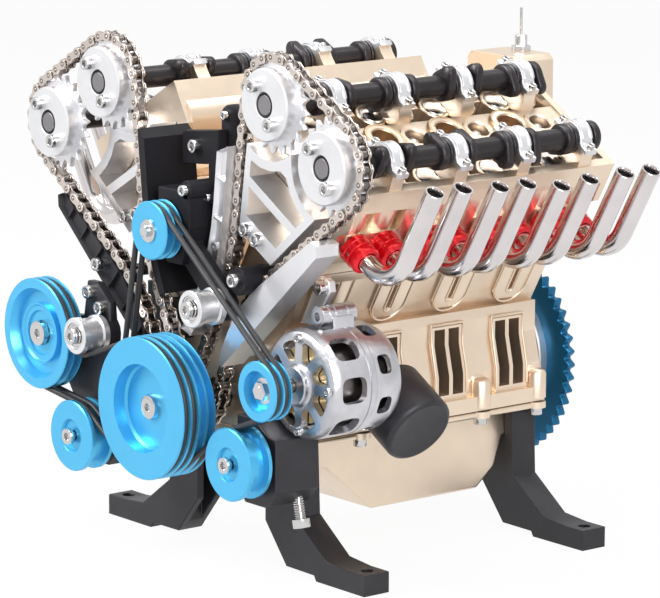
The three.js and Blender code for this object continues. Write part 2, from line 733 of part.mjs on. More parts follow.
// The curved guide of the inner run, of one thickness.
function innerGuide({ thickness, low, high }, front, rear) {
  const side = besideRun(innerLine, innerShoe, low, high);
  const back = side.map(([along, away]) => [along, away + thickness]).reverse();
  back[0] = [back[0][0] - innerBar.chamfer, back[0][1] - innerBar.chamfer / 4];
  const middle = (share) => {
    const [along, away] = side[Math.round(share * (side.length - 1))];
    return [along, away + thickness / 2 + runGap];
  };
  return guide(innerLine, [...side, ...back], middle, front, rear);
}

// The guide of the outer run: hollow along the chain, with a straight back.
function outerGuide(front, rear) {
  const side = besideRun(outerLine, outerShoe, outerBar.low, outerBar.high);
  const back = [
    [outerBar.high + overrun, outerBar.tip], outerBar.shoulder,
    outerBar.waist, [outerBar.low + overrun, outerBar.foot],
  ];
  const middle = (share) => {
    const [along, away] = side[Math.round(share * (side.length - 1))];
    return [along, away + guideFoot + runGap];
  };
  return guide(outerLine, [...side, ...back], middle, front, rear);
}

// A roller chain as one ladder: slanting side plates, with a roller across them at each pin
// of a free run. On a sprocket the teeth pass between the plates, and rollers are left out
// there, because a fixed chain would stop the wheel.
const onSprocket = ([x, z]) => [crankWheel, exhaustWheel, intakeWheel].some((wheel) =>
  Math.hypot(x - wheel.x, z - wheel.z) < wheel.radius + toothHeight + chainHalf + runGap);

function chain() {
  const place = [];
  const faces = [];
  const corner = new Map();
  const half = chainWidth / 2;
  pins.forEach(([x, z], i) => {
    const before = pins[(i + linkCount - 1) % linkCount];
    const after = pins[(i + 1) % linkCount];
    const span = Math.hypot(after[0] - before[0], after[1] - before[1]);
    const along = [(after[0] - before[0]) / span, (after[1] - before[1]) / span];
    const out = [along[1], -along[0]];
    const outer = half - (i % 2) * plateStagger;
    const inner = outer - plateThickness;
    for (const side of [-1, 1]) {
      const put = (name, t, n, y) => {
        corner.set(`${name}${side}${i}`, place.length / 3);
        place.push(x + along[0] * t + out[0] * n, chainPlane + side * y, z + along[1] * t + out[1] * n);
      };
      put('To', 0, chainHalf, outer);
      put('Bo', 0, -chainHalf, outer);
      put('Ti', 0, chainHalf, inner);
      put('Bi', 0, -chainHalf, inner);
      put('Fi', rollerLength / 2, 0, inner);
      put('Ri', -rollerLength / 2, 0, inner);
    }
  });
  const face = (side, ...names) => {
    const ids = names.map((name) => corner.get(name));
    if (side < 0) ids.reverse();
    for (let k = 2; k < ids.length; k += 1) faces.push(ids[0], ids[k - 1], ids[k]);
  };
  for (let i = 0; i < linkCount; i += 1) {
    const j = (i + 1) % linkCount;
    for (const side of [-1, 1]) {
      const here = (name) => `${name}${side}${i}`;
      const next = (name) => `${name}${side}${j}`;
      face(side, here('To'), here('Bo'), next('Bo'), next('To'));
      face(side, here('To'), next('To'), next('Ti'), here('Ti'));
      face(side, next('Bo'), here('Bo'), here('Bi'), next('Bi'));
      face(side, here('Fi'), here('Ti'), next('Ti'), next('Ri'), next('Bi'), here('Bi'));
    }
    const ends = ['Ti', 'Fi', 'Bi', 'Ri'];
    if (onSprocket(pins[i])) {
      for (const side of [-1, 1]) face(side, ...ends.map((name) => `${name}${side}${i}`));
      continue;
    }
    ends.forEach((name, k) => {
      const later = ends[(k + 1) % 4];
      face(1, `${name}1${i}`, `${later}1${i}`, `${later}-1${i}`, `${name}-1${i}`);
    });
  }
  const geometry = new THREE.BufferGeometry();
  geometry.setAttribute('position', new THREE.BufferAttribute(Float32Array.from(place), 3));
  geometry.setIndex(faces);
  return solid(geometry);
}

// Sprockets: a pointed tooth between each two pins.
function sprocket(wheel, teeth, y0, y1) {
  const pitch = wheel.radius;
  const step = (2 * Math.PI) / teeth;
  const onIt = pins.filter(([x, z]) => Math.abs(Math.hypot(x - wheel.x, z - wheel.z) - pitch) < weld * 100);
  const [x, z] = onIt[Math.floor(onIt.length / 2)];
  const phase = Math.atan2(z - wheel.z, x - wheel.x);
  const outline = [];
  for (let k = 0; k < teeth; k += 1) {
    const angle = phase + k * step;
    outline.push(...ring(pitch - rootDepth, 1, 0, 0, angle));
    outline.push(...ring(pitch + toothHeight, 1, 0, 0, angle + step / 2));
  }
  return plate(outline, y0, y1);
}

// Camshafts, built about their own axis with the sprocket's front face at a given place

function lobe(y, angle) {
  const spread = Math.acos((lobeBase - lobeNose) / (lobeReach - lobeNose));
  const outline = [
    ...arc(lobeBase, angle + spread, angle + 2 * Math.PI - spread, 3),
    ...arc(lobeNose, angle - spread * 0.6, angle + spread * 0.6, 1,
      (lobeReach - lobeNose) * Math.cos(angle), (lobeReach - lobeNose) * Math.sin(angle)),
  ];
  return plate(outline, y - lobeThickness / 2, y + lobeThickness / 2);
}

function camshaft(wheel, front, phases, turn) {
  const middle = front + chainPlane;
  const teeth = sprocket(wheel, camTeeth, middle - toothThickness / 2, middle + toothThickness / 2);
  const flange = turned([
    [0, front + hubRecess], [hubRadius, front + hubRecess], [hubRadius, front], [flangeRadius, front],
    [flangeRadius, front + flangeThickness + overrun / 2], [0, front + flangeThickness + overrun / 2],
  ], facetsMedium);
  const shaft = rod(camShaftRadius, middle, camLength, facetsSmall);
  const end = rod(hubRadius - seatGap * 2, front + hubRecess / 2, front + hubRecess + overrun, facetsTiny);
  const screws = [-1, 1].map((side) => shifted(
    rod(hubScrew.radius, front - hubScrew.height, front + overrun, facetsTiny),
    side * hubScrew.spread * Math.cos(turn), 0, side * hubScrew.spread * Math.sin(turn)));
  const lobes = cylinders.flatMap((y, i) => [-valveSpread, valveSpread].map((valve) =>
    lobe(y + valve, phases[i] * degrees)));
  return joined(teeth, flange, shaft, end, screws, lobes);
}

// Crank train

const bigEndRadius = crankPinRadius + 1.6 * runGap + bigEndWall;
const pinHalf = rodThickness + 1.5 * runGap + seatGap / 2;

const pinAt = (i) => {
  const turn = crankAngles[i] * degrees;
  return [crankThrow * Math.sin(turn), crankThrow * Math.cos(turn)];
};

function crankshaft() {
  const parts = [];
  const rearEnd = blockRear + flywheelGap + flywheelThickness;
  let from = pulleyRear + runGap;
  cylinders.forEach((y, i) => {
    const turn = crankAngles[i] * degrees;
    const [x, z] = pinAt(i);
    parts.push(rod(journalRadius, from, y - pinHalf - webThickness / 2, facetsSmall));
    parts.push(shifted(rod(crankPinRadius, y - pinHalf - webThickness / 2, y + pinHalf + webThickness / 2,
      facetsSmall), x, 0, z));
    for (const side of [-1, 1]) {
      const near = y + side * pinHalf;
      const ends = [near, near + side * webThickness].sort((a, b) => a - b);
      parts.push(turnedY(crankWeb(...ends), turn));
    }
    from = y + pinHalf + webThickness / 2;
  });
  parts.push(rod(journalRadius, from, rearEnd - overrun / 2, facetsSmall));
  parts.push(rod(noseRadius, pulleyRear - crankBoreDepth + 2 * runGap, pulleyRear + 2 * runGap, facetsSmall));
  const crankSprocket = (y) =>
    sprocket(crankWheel, crankTeeth, y - toothThickness / 2, y + toothThickness / 2);
  parts.push(crankSprocket(chainPlane), mirrored(crankSprocket(leftPlane)));
  const hubFront = blockRear + flywheelGap - flywheelThickness;
  parts.push(rod(flywheelHub, hubFront, rearEnd - overrun / 2, facetsLarge));
  const rim = [];
  const step = Math.PI / flywheelTeeth;
  for (let k = 0; k < 2 * flywheelTeeth; k += 1) {
    const radius = flywheelRadius - (k % 2) * flywheelToothDepth;
    rim.push([radius * Math.cos(k * step), radius * Math.sin(k * step)]);
  }
  parts.push(plate(rim, blockRear + flywheelGap, rearEnd));
  return joined(parts);
}

// A crank web: round below for the counterweight, narrow above round the pin.
function crankWeb(y0, y1) {
  return plate([
    ...arc(webRadius, -0.92 * Math.PI, -0.08 * Math.PI, 4),
    ...arc(crankPinRadius + bigEndWall, 0.1 * Math.PI, 0.9 * Math.PI, 2, 0, crankThrow),
  ], y0, y1);
}

// Two rods side by side on one pin, one for each bank.
const rodLength = deckHeight - pistonTopGap - pistonCrown - 2 * runGap - rodEyeRadius - 3 * crankThrow;

function rodPair(i) {
  const [x, z] = pinAt(i);
  const rodOf = (side) => {
    const y0 = side > 0 ? runGap : -runGap - rodThickness;
    const blade = joined(
      box(-rodWidth / 2, rodWidth / 2, y0, y0 + rodThickness, 0, rodLength),
      shifted(rod(rodEyeRadius, y0, y0 + rodThickness, facetsTiny), 0, 0, rodLength));
    return turnedY(blade, side * tilt);
  };
  const bearing = rod(bigEndRadius, -runGap - rodThickness, runGap + rodThickness, facetsSmall);
  const hole = rod(crankPinRadius + 1.6 * runGap, -rodThickness - overrun, rodThickness + overrun,
    facetsSmall);
  return shifted(without(joined(rodOf(1), rodOf(-1), bearing), hole), x, cylinders[i], z);
}

// The height of a piston's crown above its place in mid stroke.
const strokeAt = (i, side) => crankThrow * Math.cos(crankAngles[i] * degrees - side * tilt);

function piston(i, side) {
  const radius = boreRadius - pistonClearance;
  const under = rodLength + crankThrow * 2 + rodEyeRadius + 2 * runGap;
  const cup = turned([
    [0, under], [radius - pistonWall, under], [radius - pistonWall, under + pistonCrown - pistonHeight],
    [radius, under + pistonCrown - pistonHeight], [radius, under + pistonCrown], [0, under + pistonCrown],
  ], facetsMedium);
  const stand = moved(cup, new THREE.Matrix4().makeRotationX(Math.PI / 2));
  return turnedY(shifted(stand, 0, cylinders[i], strokeAt(i, side)), side * tilt);
}

// Pulleys, spools and drums, built about their own axis

function grooved(radius, y0, y1, grooves) {
  const half = beltSize / 2 + runGap;
  return [
    [radius, y0],
    ...grooves.flatMap((y) => [
      [radius, y - half], [radius - grooveDepth, y - half],
      [radius - grooveDepth, y + half], [radius, y + half],
    ]),
    [radius, y1],
  ];
}

function crankPulley() {
  const bore = noseRadius + runGap;
  const face = pulleyFront + crankPulleyRecessDepth;
  return turned([
    [0, face - screwHeadHeight], [screwHead / 2, face - screwHeadHeight], [screwHead, face],
    [crankPulleyRecess, face], [crankPulleyRecess, pulleyFront],
    ...grooved(crankPulleyRadius, pulleyFront, pulleyRear, grooveYs),
    [bore, pulleyRear], [bore, pulleyRear - crankBoreDepth], [0, pulleyRear - crankBoreDepth],
  ], facetsLarge);
}

function sidePulleyBody() {
  const y1 = leftPair[1] + rimEdge;
  const bore = spindleRadius + runGap;
  const face = pulleyFront + sidePulley.hubDepth;
  return turned([
    [bore, face], [sidePulley.hub, face], [sidePulley.hub, pulleyFront],
    ...grooved(sidePulley.radius, pulleyFront, y1, leftPair), [bore, y1], [bore, face],
  ], facetsLarge);
}

function pumpPulleyBody() {
  const [y0, y1] = [rightPair[0] - rimEdge, rightPair[1] + rimEdge];
  const bore = spindleRadius + runGap;
  return turned([
    [0, y0 - screwHeadHeight], [screwHead, y0 - screwHeadHeight], [screwHead, y0],
    ...grooved(pumpPulley.radius, y0, y1, rightPair), [bore, y1], [bore, y0 + runGap * 3],
    [0, y0 + runGap * 3],
  ], facetsMedium);
}

function alternatorRotor() {
  const [y0, y1] = [rightPair[0] - rimEdge, rightPair[1] + rimEdge];
  const face = y1 - 2 * rimEdge;
  const wall = alternator.wall;
  return turned([
    [0, y0 + runGap], [screwHead, y0 + runGap], [screwHead, face], [alternatorPulley.recess, face],
    [alternatorPulley.recess, y0], ...grooved(alternatorPulley.radius, y0, y1, rightPair),
    [spindleRadius, y1], [spindleRadius, alternator.front + 2 * wall],
    [alternator.rotor, alternator.front + 2 * wall], [alternator.rotor, alternator.rear - 2 * wall],
    [0, alternator.rear - 2 * wall],
  ], facetsMedium);
}

function idler(radius, core, width, middle, bore) {
  const [y0, y1] = [middle - width / 2, middle + width / 2];
  const half = groovePitch / 2 + beltSize / 2 + runGap;
  return turned([
    [bore, y0], [radius, y0], [radius, middle - half], [core, middle - half],
    [core, middle + half], [radius, middle + half], [radius, y1], [bore, y1], [bore, y0],
  ], facetsMedium);
}

// A spindle with its screw head in front of the piece that turns on it.
function spindle(y0, y1, rear) {
  return joined(rod(spindleRadius, y0 - runGap - overrun / 2, rear, facetsSmall),
    rod(screwHead, y0 - runGap - screwHeadHeight, y0 - runGap, facetsTiny),
    rod(screwHead, y1 + runGap, rear, facetsSmall));
}

const onGroove = ({ x, z, radius }) => ({ x, z, radius: radius - grooveDepth + runGap + beltSize / 2 });
const onCore = ({ x, z }, core) => ({ x, z, radius: core + runGap + beltSize / 2, turn: -1 });
const crankBelt = onGroove({ x: 0, z: 0, radius: crankPulleyRadius });
const leftRoute = [crankBelt, onCore(drumLeft, drumCore), onGroove(sidePulley), onCore(spoolLeft, spoolCore)];
const rightRoute = [
  crankBelt, onCore(spoolRight, spoolCore), onGroove(alternatorPulley), onGroove(pumpPulley),
];

function belt(loop, y) {
  return plate(beltOutline(loop, beltSize / 2), y - beltSize / 2, y + beltSize / 2,
    [beltOutline(loop, -beltSize / 2)]);
}

// Pump body with the arm of the silver drum, in front of the valley

function pumpHousing() {
  const front = -pumpBody.face;
  const body = plate([
    [-pumpBody.foot, pumpBody.bottom], [pumpBody.foot, pumpBody.bottom], [pumpBody.half, pumpBody.shoulder],
    [pumpBody.half, pumpBody.top], [-pumpBody.half, pumpBody.top], [-pumpBody.half, pumpBody.shoulder],
  ], front, blockFront - seatGap);
  const drumRear = middleOf(rightPair) + drumWidth / 2;
  const armFront = Math.max(front, drumRear + armGap);
  const armRear = chainPlane - guideAhead.right - seatGap;
  const lean = Math.atan2(drumRight.z - pumpBody.bottom, drumRight.x);
  const arm = plate([
    ...arc(armHalfWidth, lean - Math.PI / 2, lean + Math.PI / 2, 4, drumRight.x, drumRight.z),
    [0, pumpBody.shoulder], [0, pumpBody.bottom],
  ], armFront, armRear);
  const shaft = shifted(rod(spindleRadius, rightPair[0] - rimEdge + runGap * 6, front + overrun, facetsSmall),
    pumpPulley.x, 0, pumpPulley.z);
  const pin = shifted(spindle(middleOf(rightPair) - drumWidth / 2, drumRear, armFront + overrun),
    drumRight.x, 0, drumRight.z);
  return joined(body, arm, shaft, pin);
}

// Alternator housing

function alternatorHousing() {
  const { front, rear, radius, wall } = alternator;
  const shaft = spindleRadius + runGap;
  const parting = (front + rear) / 2;
  const inner = radius - wall;
  let body = turned([
    [shaft, front - wall], [3 * shaft, front - wall], [3 * shaft, front], [radius - wall, front],
    [radius, front + wall], [radius, parting], [radius - wall / 4, parting],
    [radius - wall / 4, rear - 2 * wall],
    [inner - wall, rear], [0, rear], [0, rear - wall], [inner - wall, rear - wall],
    [inner, rear - 2 * wall], [inner, front + 1.5 * wall], [inner - wall / 2, front + wall],
    [shaft, front + wall], [shaft, front - wall],
  ], facetsLarge);
  const step = (2 * Math.PI) / alternatorWindows;
  const width = radius * step * 0.42;
  const cutters = [];
  for (let k = 0; k < alternatorWindows; k += 1) {
    const side = box(inner - wall / 2, radius + overrun, front + 2 * wall, parting - wall,
      -width / 2, width / 2);
    const face = box(0.42 * radius, 0.78 * radius, front - overrun, front + wall + overrun,
      -width / 3, width / 3);
    cutters.push(turnedY(side, k * step), turnedY(face, (k + 0.5) * step));
  }
  body = without(body, cutters);
  const lug = box(-alternator.lug, alternator.lug, parting - 2 * wall, parting + 2 * wall,
    inner + wall / 4, radius + alternator.lug);
  return shifted(joined(body, lug), alternatorPulley.x, 0, alternatorPulley.z);
}

// Brackets, legs and filter

function bracketRight() {
  const front = middleOf(rightPair) + spoolWidth / 2 + armGap;
  const outline = [
    [bracketInner, bracketTop], [bracketInner, -bracketBottom * 0.8],
    [spoolRight.x - armHalfWidth, -bracketBottom], [bracketOuter - armHalfWidth, -bracketBottom],
    [bracketOuter, -bracketBottom * 0.8], [bracketOuter, bracketTop],
  ];
  const clear = alternator.radius + seatGap;
  const body = without(plate(outline, chainPlane - chainOffset, blockFront - seatGap),
    shifted(rod(clear / Math.cos(Math.PI / facetsLarge), leftPlane - overrun, blockFront + overrun,
      facetsLarge),
      alternatorPulley.x, 0, alternatorPulley.z));
  const boss = shifted(rod(spoolCore, front, leftPlane + overrun, facetsMedium),
    spoolRight.x, 0, spoolRight.z);
  const pin = shifted(spindle(middleOf(rightPair) - spoolWidth / 2, middleOf(rightPair) + spoolWidth / 2,
    front + overrun), spoolRight.x, 0, spoolRight.z);
  return joined(body, boss, pin);
}

function bracketLeft() {
  const middle = middleOf(leftPair);
  const front = middle + Math.max(spoolWidth, drumWidth) / 2 + armGap / 4;
  const rear = front + armThickness;
  const end = ({ x, z }, from, to) => arc(armHalfWidth, from * Math.PI, to * Math.PI, 4, x, z);
  const arm = plate([
    ...end(spoolLeft, -1, 0), ...end(drumLeft, 0, 0.5), ...end(sidePulley, 0.6, 1.35),
  ], front, rear);
  const post = plate([
    [-bracketInner, bracketTop], [-bracketInner, -bracketBottom * 0.8],
    [spoolLeft.x + armHalfWidth / 2, -bracketBottom],
    [spoolLeft.x - armHalfWidth, -bracketBottom], [-railHalfWidth - armHalfWidth, -bracketBottom * 0.8],
    [-railHalfWidth - armHalfWidth, bracketTop],
  ], rear - overrun, blockFront - seatGap);
  const pins = [
    shifted(spindle(middle - spoolWidth / 2, middle + spoolWidth / 2, front + overrun),
      spoolLeft.x, 0, spoolLeft.z),
    shifted(spindle(middle - drumWidth / 2, middle + drumWidth / 2, front + overrun),
      drumLeft.x, 0, drumLeft.z),
    shifted(spindle(pulleyFront + sidePulley.hubDepth, leftPair[1] + rimEdge, front + overrun),
      sidePulley.x, 0, sidePulley.z),
  ];
  return joined(arm, post, pins);
}

function leg(y0) {
  const top = panTop - panFlange - seatGap;
  const under = -panShallow - seatGap;
  const beside = panHalfWidth + seatGap;
  const padTop = -baseDepth + legPad.top;
  const shin = legPad.outer - legPad.inner;
  const inner = panHalfWidth - 0.45 * shin;
  const body = plate([
    [beside, top], [beside, under], [inner, under], [inner, -0.72 * baseDepth],
    [panHalfWidth, -0.965 * baseDepth], [legPad.inner - overrun, -0.968 * baseDepth],
    [legPad.inner, -baseDepth],
    [legPad.outer, -baseDepth], [legPad.outer, padTop], [legPad.outer - 0.36 * shin, padTop],
    [legPad.outer - 0.8 * shin, padTop + overrun], [panHalfWidth + 0.2 * shin, -0.65 * baseDepth],
    [panHalfWidth + 0.16 * shin, top],
  ], y0, y0 + legThickness);
  const middle = y0 + legThickness / 2;
  const slot = box(inner - overrun, inner + legSlot.depth,
    middle - legSlot.width / 2, middle + legSlot.width / 2, -baseDepth, under - 0.6 * legSlot.width);
  const hole = shifted(post(legPad.hole, -baseDepth - overrun, padTop + overrun, facetsSmall),
    legPad.holeAt, middle, 0);
  return without(body, slot, hole);
}

function oilFilter() {
  const { radius, near, far, drop, neck } = filter;
  const lean = drop * degrees;
  const canister = moved(bar(radius, 0, (far - near) / Math.cos(lean), facetsMedium),
    new THREE.Matrix4().makeRotationY(lean));
  const rounded = moved(bar(radius * 0.86, (far - near) / Math.cos(lean) - overrun,
    (far - near) / Math.cos(lean) + overrun, facetsMedium), new THREE.Matrix4().makeRotationY(lean));
  const root = skirtHalfWidth + skirtBulge + panelRise + seatGap;
  const pipe = bar(neck, root, near + radius / 2, facetsSmall);
  return joined(shifted(joined(canister, rounded), near, filter.y, filter.height),
    shifted(pipe, 0, filter.y, filter.height));
}

// Rear housing with the switch on top

function rearHousing() {
  const { half, waist, shoulder, neck, top, bottom, edge } = rearBody;
  const y0 = blockRear + rearBody.near;
  const y1 = y0 + rearBody.depth;
  const body = plate([
    [-half, bottom], [half, bottom], [half, shoulder - neck], [waist, shoulder], [waist, top - edge],
    [waist - edge, top], [edge - waist, top], [-waist, top - edge], [-waist, shoulder],
    [-half, shoulder - neck],
  ], y0, y1);
  const arm = box(-rearMount.half, rearMount.half, blockRear + seatGap, y0 + overrun,
    rearMount.bottom, rearMount.top);
  const at = y0 + toggle.at;
  const stack = joined(post(toggle.nut, rearBody.top - overrun, rearBody.top + toggle.nutHeight, facetsTiny),
    post(toggle.bush, rearBody.top, rearBody.top + toggle.bushHeight, facetsSmall));
  const hole = post(toggle.bore, leverPivot - toggle.ball - runGap,
    rearBody.top + toggle.bushHeight + overrun, facetsSmall);
  return joined(body, arm, shifted(without(stack, hole), 0, at, 0));
}

function switchLever() {
  const at = blockRear + rearBody.near + toggle.at;
  return shifted(joined(post(lever.radius, leverPivot, leverPivot + lever.length, facetsTiny),
    post(toggle.ball, leverPivot - toggle.ball, leverPivot + toggle.ball, facetsTiny)), 0, at, 0);
}

// Exhausts: a flange with two sockets, and a bent pipe in each

function exhaust(i) {
  const face = exhaustPort.reach + seatGap;
  const flange = box(face, face + exhaustFlange.thickness,
    -exhaustFlange.length / 2, exhaustFlange.length / 2, -exhaustFlange.half, exhaustFlange.half);
  const end = face + exhaustSocket.length;
  const parts = [flange];
  for (const valve of [-valveSpread, valveSpread]) {
    parts.push(shifted(bar(exhaustSocket.radius, face + overrun / 2, end, facetsTiny), 0, valve, 0));
    parts.push(shifted(pipe(end), 0, valve, 0));
  }
  return inHead(shifted(joined(parts), 0, cylinders[i], exhaustPort.up));
}

// A pipe that leaves along the port, turns parallel to the bores and ends in an open mouth.
function pipe(start) {
  const { radius, bore, bendRadius, straight, top, mouth } = exhaustPipe;
  const steps = 3;
  const quarter = Math.PI / 2;
  const rings = [];
  const put = (x, z, heading, r) => rings.push(Array.from({ length: facetsTiny }, (_, k) => {
    const angle = (k * 2 * Math.PI) / facetsTiny;
    const out = r * Math.cos(angle);
    return [x - Math.sin(heading) * out, r * Math.sin(angle), z + Math.cos(heading) * out];
  }));
  const bend = start + straight;
  put(start - overrun, 0, 0, radius);
  for (let k = 0; k <= steps; k += 1) {
    const heading = (quarter * k) / steps;
    put(bend + bendRadius * Math.sin(heading), bendRadius * (1 - Math.cos(heading)), heading, radius);
  }
  const end = top - exhaustPort.up;
  put(bend + bendRadius, end, quarter, radius);
  put(bend + bendRadius, end, quarter, bore);
  put(bend + bendRadius, end - mouth, quarter, bore);
  return tube(rings);
}

// A closed skin through rings of points, with a flat cap at each end.
function tube(rings) {
  const count = rings[0].length;
  const place = rings.flat(2);
  const faces = [];
  for (let i = 1; i < rings.length; i += 1) {
    for (let k = 0; k < count; k += 1) {
      const [a, b] = [(i - 1) * count + k, (i - 1) * count + ((k + 1) % count)];
      faces.push(a, b, b + count, a, b + count, a + count);
    }
  }
  const last = (rings.length - 1) * count;
  for (let k = 2; k < count; k += 1) {
    faces.push(0, k, k - 1, last, last + k - 1, last + k);
  }
  const geometry = new THREE.BufferGeometry();
  geometry.setAttribute('position', new THREE.BufferAttribute(Float32Array.from(place), 3));
  geometry.setIndex(faces);
  return solid(geometry);
}

// The model

const model = new THREE.Group();

function add(name, body, material) {
  const geometry = geometryOf(body).toNonIndexed();
  geometry.computeVertexNormals();
  const mesh = new THREE.Mesh(geometry, material);
  mesh.name = name;
  model.add(mesh);
}

function addBoth(name, body, material) {
  add(`${name}_right`, body, material);
  add(`${name}_left`, mirrored(body), material);
}

const rightGuides = [chainPlane - guideAhead.right, chainPlane + guideBehind];
const leftGuideFront = leftPlane - guideAhead.left;

add('engine_block', engineBlock(), gold);
add('oil_pan', oilPan(), gold);
addBoth('cylinder_head', inHead(cylinderHead()), gold);
addBoth('timing_frame', inHead(timingFrame()), silver);
add('outer_guide_right', outerGuide(...rightGuides), silver);
add('outer_guide_left', mirrored(outerGuide(leftGuideFront, leftPlane + guideBehind)), blackPaint);
add('inner_guide_right', innerGuide(innerBar.right, ...rightGuides), silver);
const innerLeft = innerGuide(innerBar.left, leftGuideFront, blockFront - seatGap);
add('inner_guide_left', mirrored(innerLeft), blackPaint);
const rightChain = chain();
add('timing_chain_right', rightChain, chainSteel);
add('timing_chain_left', shifted(mirrored(rightChain), 0, -chainOffset, 0), chainSteel);
add('water_pump_housing', pumpHousing(), blackPaint);
add('alternator_housing', alternatorHousing(), castSilver);
add('oil_filter', oilFilter(), blackPaint);
add('bracket_right', bracketRight(), blackPaint);
add('bracket_left', bracketLeft(), blackPaint);
add('rear_housing', rearHousing(), gold);
addBoth('front_leg', leg(legFront), blackPaint);
addBoth('rear_leg', leg(legRear), blackPaint);
leftPair.forEach((y, i) => add(`left_belt_${i + 1}`, belt(leftRoute, y), rubber));
rightPair.forEach((y, i) => add(`right_belt_${i + 1}`, belt(rightRoute, y), rubber));
cylinders.forEach((_, i) => addBoth(`exhaust_${i + 1}`, exhaust(i), redGloss));

add('crankshaft', crankshaft(), blackSteel);
add('crank_pulley', crankPulley(), skyBlue);
const camAt = (body, x, z) => shifted(body, x, 0, z);
const exhaustCamAt = (...place) => camAt(camshaft(exhaustWheel, ...place), exhaustX, exhaustZ);
const intakeCamAt = (...place) => camAt(camshaft(intakeWheel, ...place), intakeX, intakeZ);
const turnRight = hubScrew.turn;
const turnLeft = Math.PI - hubScrew.turn;  // mirrored, it points the same way
add('exhaust_cam_right', exhaustCamAt(0, exhaustPhases, turnRight), blackSteel);
add('intake_cam_right', intakeCamAt(0, intakePhases, turnRight), blackSteel);
add('exhaust_cam_left', mirrored(exhaustCamAt(-chainOffset, exhaustPhases, turnLeft)), blackSteel);
add('intake_cam_left', mirrored(intakeCamAt(-chainOffset, intakePhases, turnLeft)), blackSteel);
add('pump_pulley', camAt(pumpPulleyBody(), pumpPulley.x, pumpPulley.z), skyBlue);
add('alternator_rotor', camAt(alternatorRotor(), alternatorPulley.x, alternatorPulley.z), skyBlue);
add('side_pulley', camAt(sidePulleyBody(), sidePulley.x, sidePulley.z), skyBlue);
const bore = spindleRadius + runGap;
const spool = (pair) => idler(spoolRadius, spoolCore, spoolWidth, middleOf(pair), bore);
const drum = (pair) => idler(drumRadius, drumCore, drumWidth, middleOf(pair), bore);
add('spool_left', camAt(spool(leftPair), spoolLeft.x, spoolLeft.z), skyBlue);
add('spool_right', camAt(spool(rightPair), spoolRight.x, spoolRight.z), skyBlue);
add('drum_left', camAt(drum(leftPair), drumLeft.x, drumLeft.z), silver);
add('drum_right', camAt(drum(rightPair), drumRight.x, drumRight.z), silver);
add('switch_lever', switchLever(), polished);
cylinders.forEach((_, i) => {
  add(`rod_pair_${i + 1}`, rodPair(i), blackSteel);
  add(`piston_${i + 1}_right`, piston(i, 1), polished);
  add(`piston_${i + 1}_left`, piston(i, -1), polished);
});

// Onto the base: X and Y from the middle of the whole, Z from the feet.
const bounds = new THREE.Box3().setFromObject(model);
const centre = bounds.getCenter(new THREE.Vector3());
const shift = new THREE.Vector3(-centre.x, -centre.y, -bounds.min.z);
model.children.forEach((mesh) => mesh.geometry.translate(shift.x, shift.y, shift.z));

export default model;
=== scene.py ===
# Display model of a four stroke V8: the looks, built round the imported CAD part.
import json
import math

import bmesh
import bpy
import numpy as np
from mathutils import Matrix, Vector


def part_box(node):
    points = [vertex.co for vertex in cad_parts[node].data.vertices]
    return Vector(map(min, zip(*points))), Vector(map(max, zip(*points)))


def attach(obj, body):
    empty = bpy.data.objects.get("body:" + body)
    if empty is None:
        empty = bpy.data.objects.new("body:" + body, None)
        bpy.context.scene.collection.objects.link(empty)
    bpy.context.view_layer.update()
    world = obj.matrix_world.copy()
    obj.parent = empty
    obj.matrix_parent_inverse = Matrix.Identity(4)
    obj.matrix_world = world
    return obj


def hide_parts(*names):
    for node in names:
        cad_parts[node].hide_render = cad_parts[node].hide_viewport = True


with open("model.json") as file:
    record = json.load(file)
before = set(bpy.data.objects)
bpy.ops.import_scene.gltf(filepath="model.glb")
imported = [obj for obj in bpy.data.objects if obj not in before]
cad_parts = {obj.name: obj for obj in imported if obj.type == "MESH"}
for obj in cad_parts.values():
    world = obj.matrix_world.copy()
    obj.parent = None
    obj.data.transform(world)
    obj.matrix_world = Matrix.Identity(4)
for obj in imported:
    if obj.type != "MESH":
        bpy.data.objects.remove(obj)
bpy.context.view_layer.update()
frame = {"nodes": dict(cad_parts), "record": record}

# Places below are in millimetres from the crank's axis and the front of the right cam
# sprockets; shift takes them to the frame's own origin.
layout = {
    "blockFront": 13.5, "blockRear": 122.3, "railBottom": -9.5, "tilt": 30,
    "cylinders": [27.1, 54.3, 81.5, 108.7], "valveSpread": 5.85,
    "camHeight": 108.8, "camSpread": 16.9, "camInset": 1.5, "chainPlane": 5.6, "chainOffset": 10.4,
}
cylinders = layout["cylinders"]
spread = layout["valveSpread"]
camHeight = layout["camHeight"]
camInset = layout["camInset"]
rightPlane = layout["chainPlane"]
leftPlane = rightPlane - layout["chainOffset"]
tilt = math.radians(layout["tilt"])
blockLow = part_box("engine_block")[0] * 1000
shift = np.array([0, blockLow.y - layout["blockFront"], blockLow.z - layout["railBottom"]])
sides = {"right": 1, "left": -1}
ahead, outwards, upwards = (0, -1, 0), (1, 0, 0), (0, 0, 1)
bodyOf = {node: body for body, nodes in frame["record"]["behaviour"]["bodies"].items() for node in nodes}
print("frame loaded, shift", shift.round(3))


# Finishes: every one has its own colour drift, roughness drift and fine relief

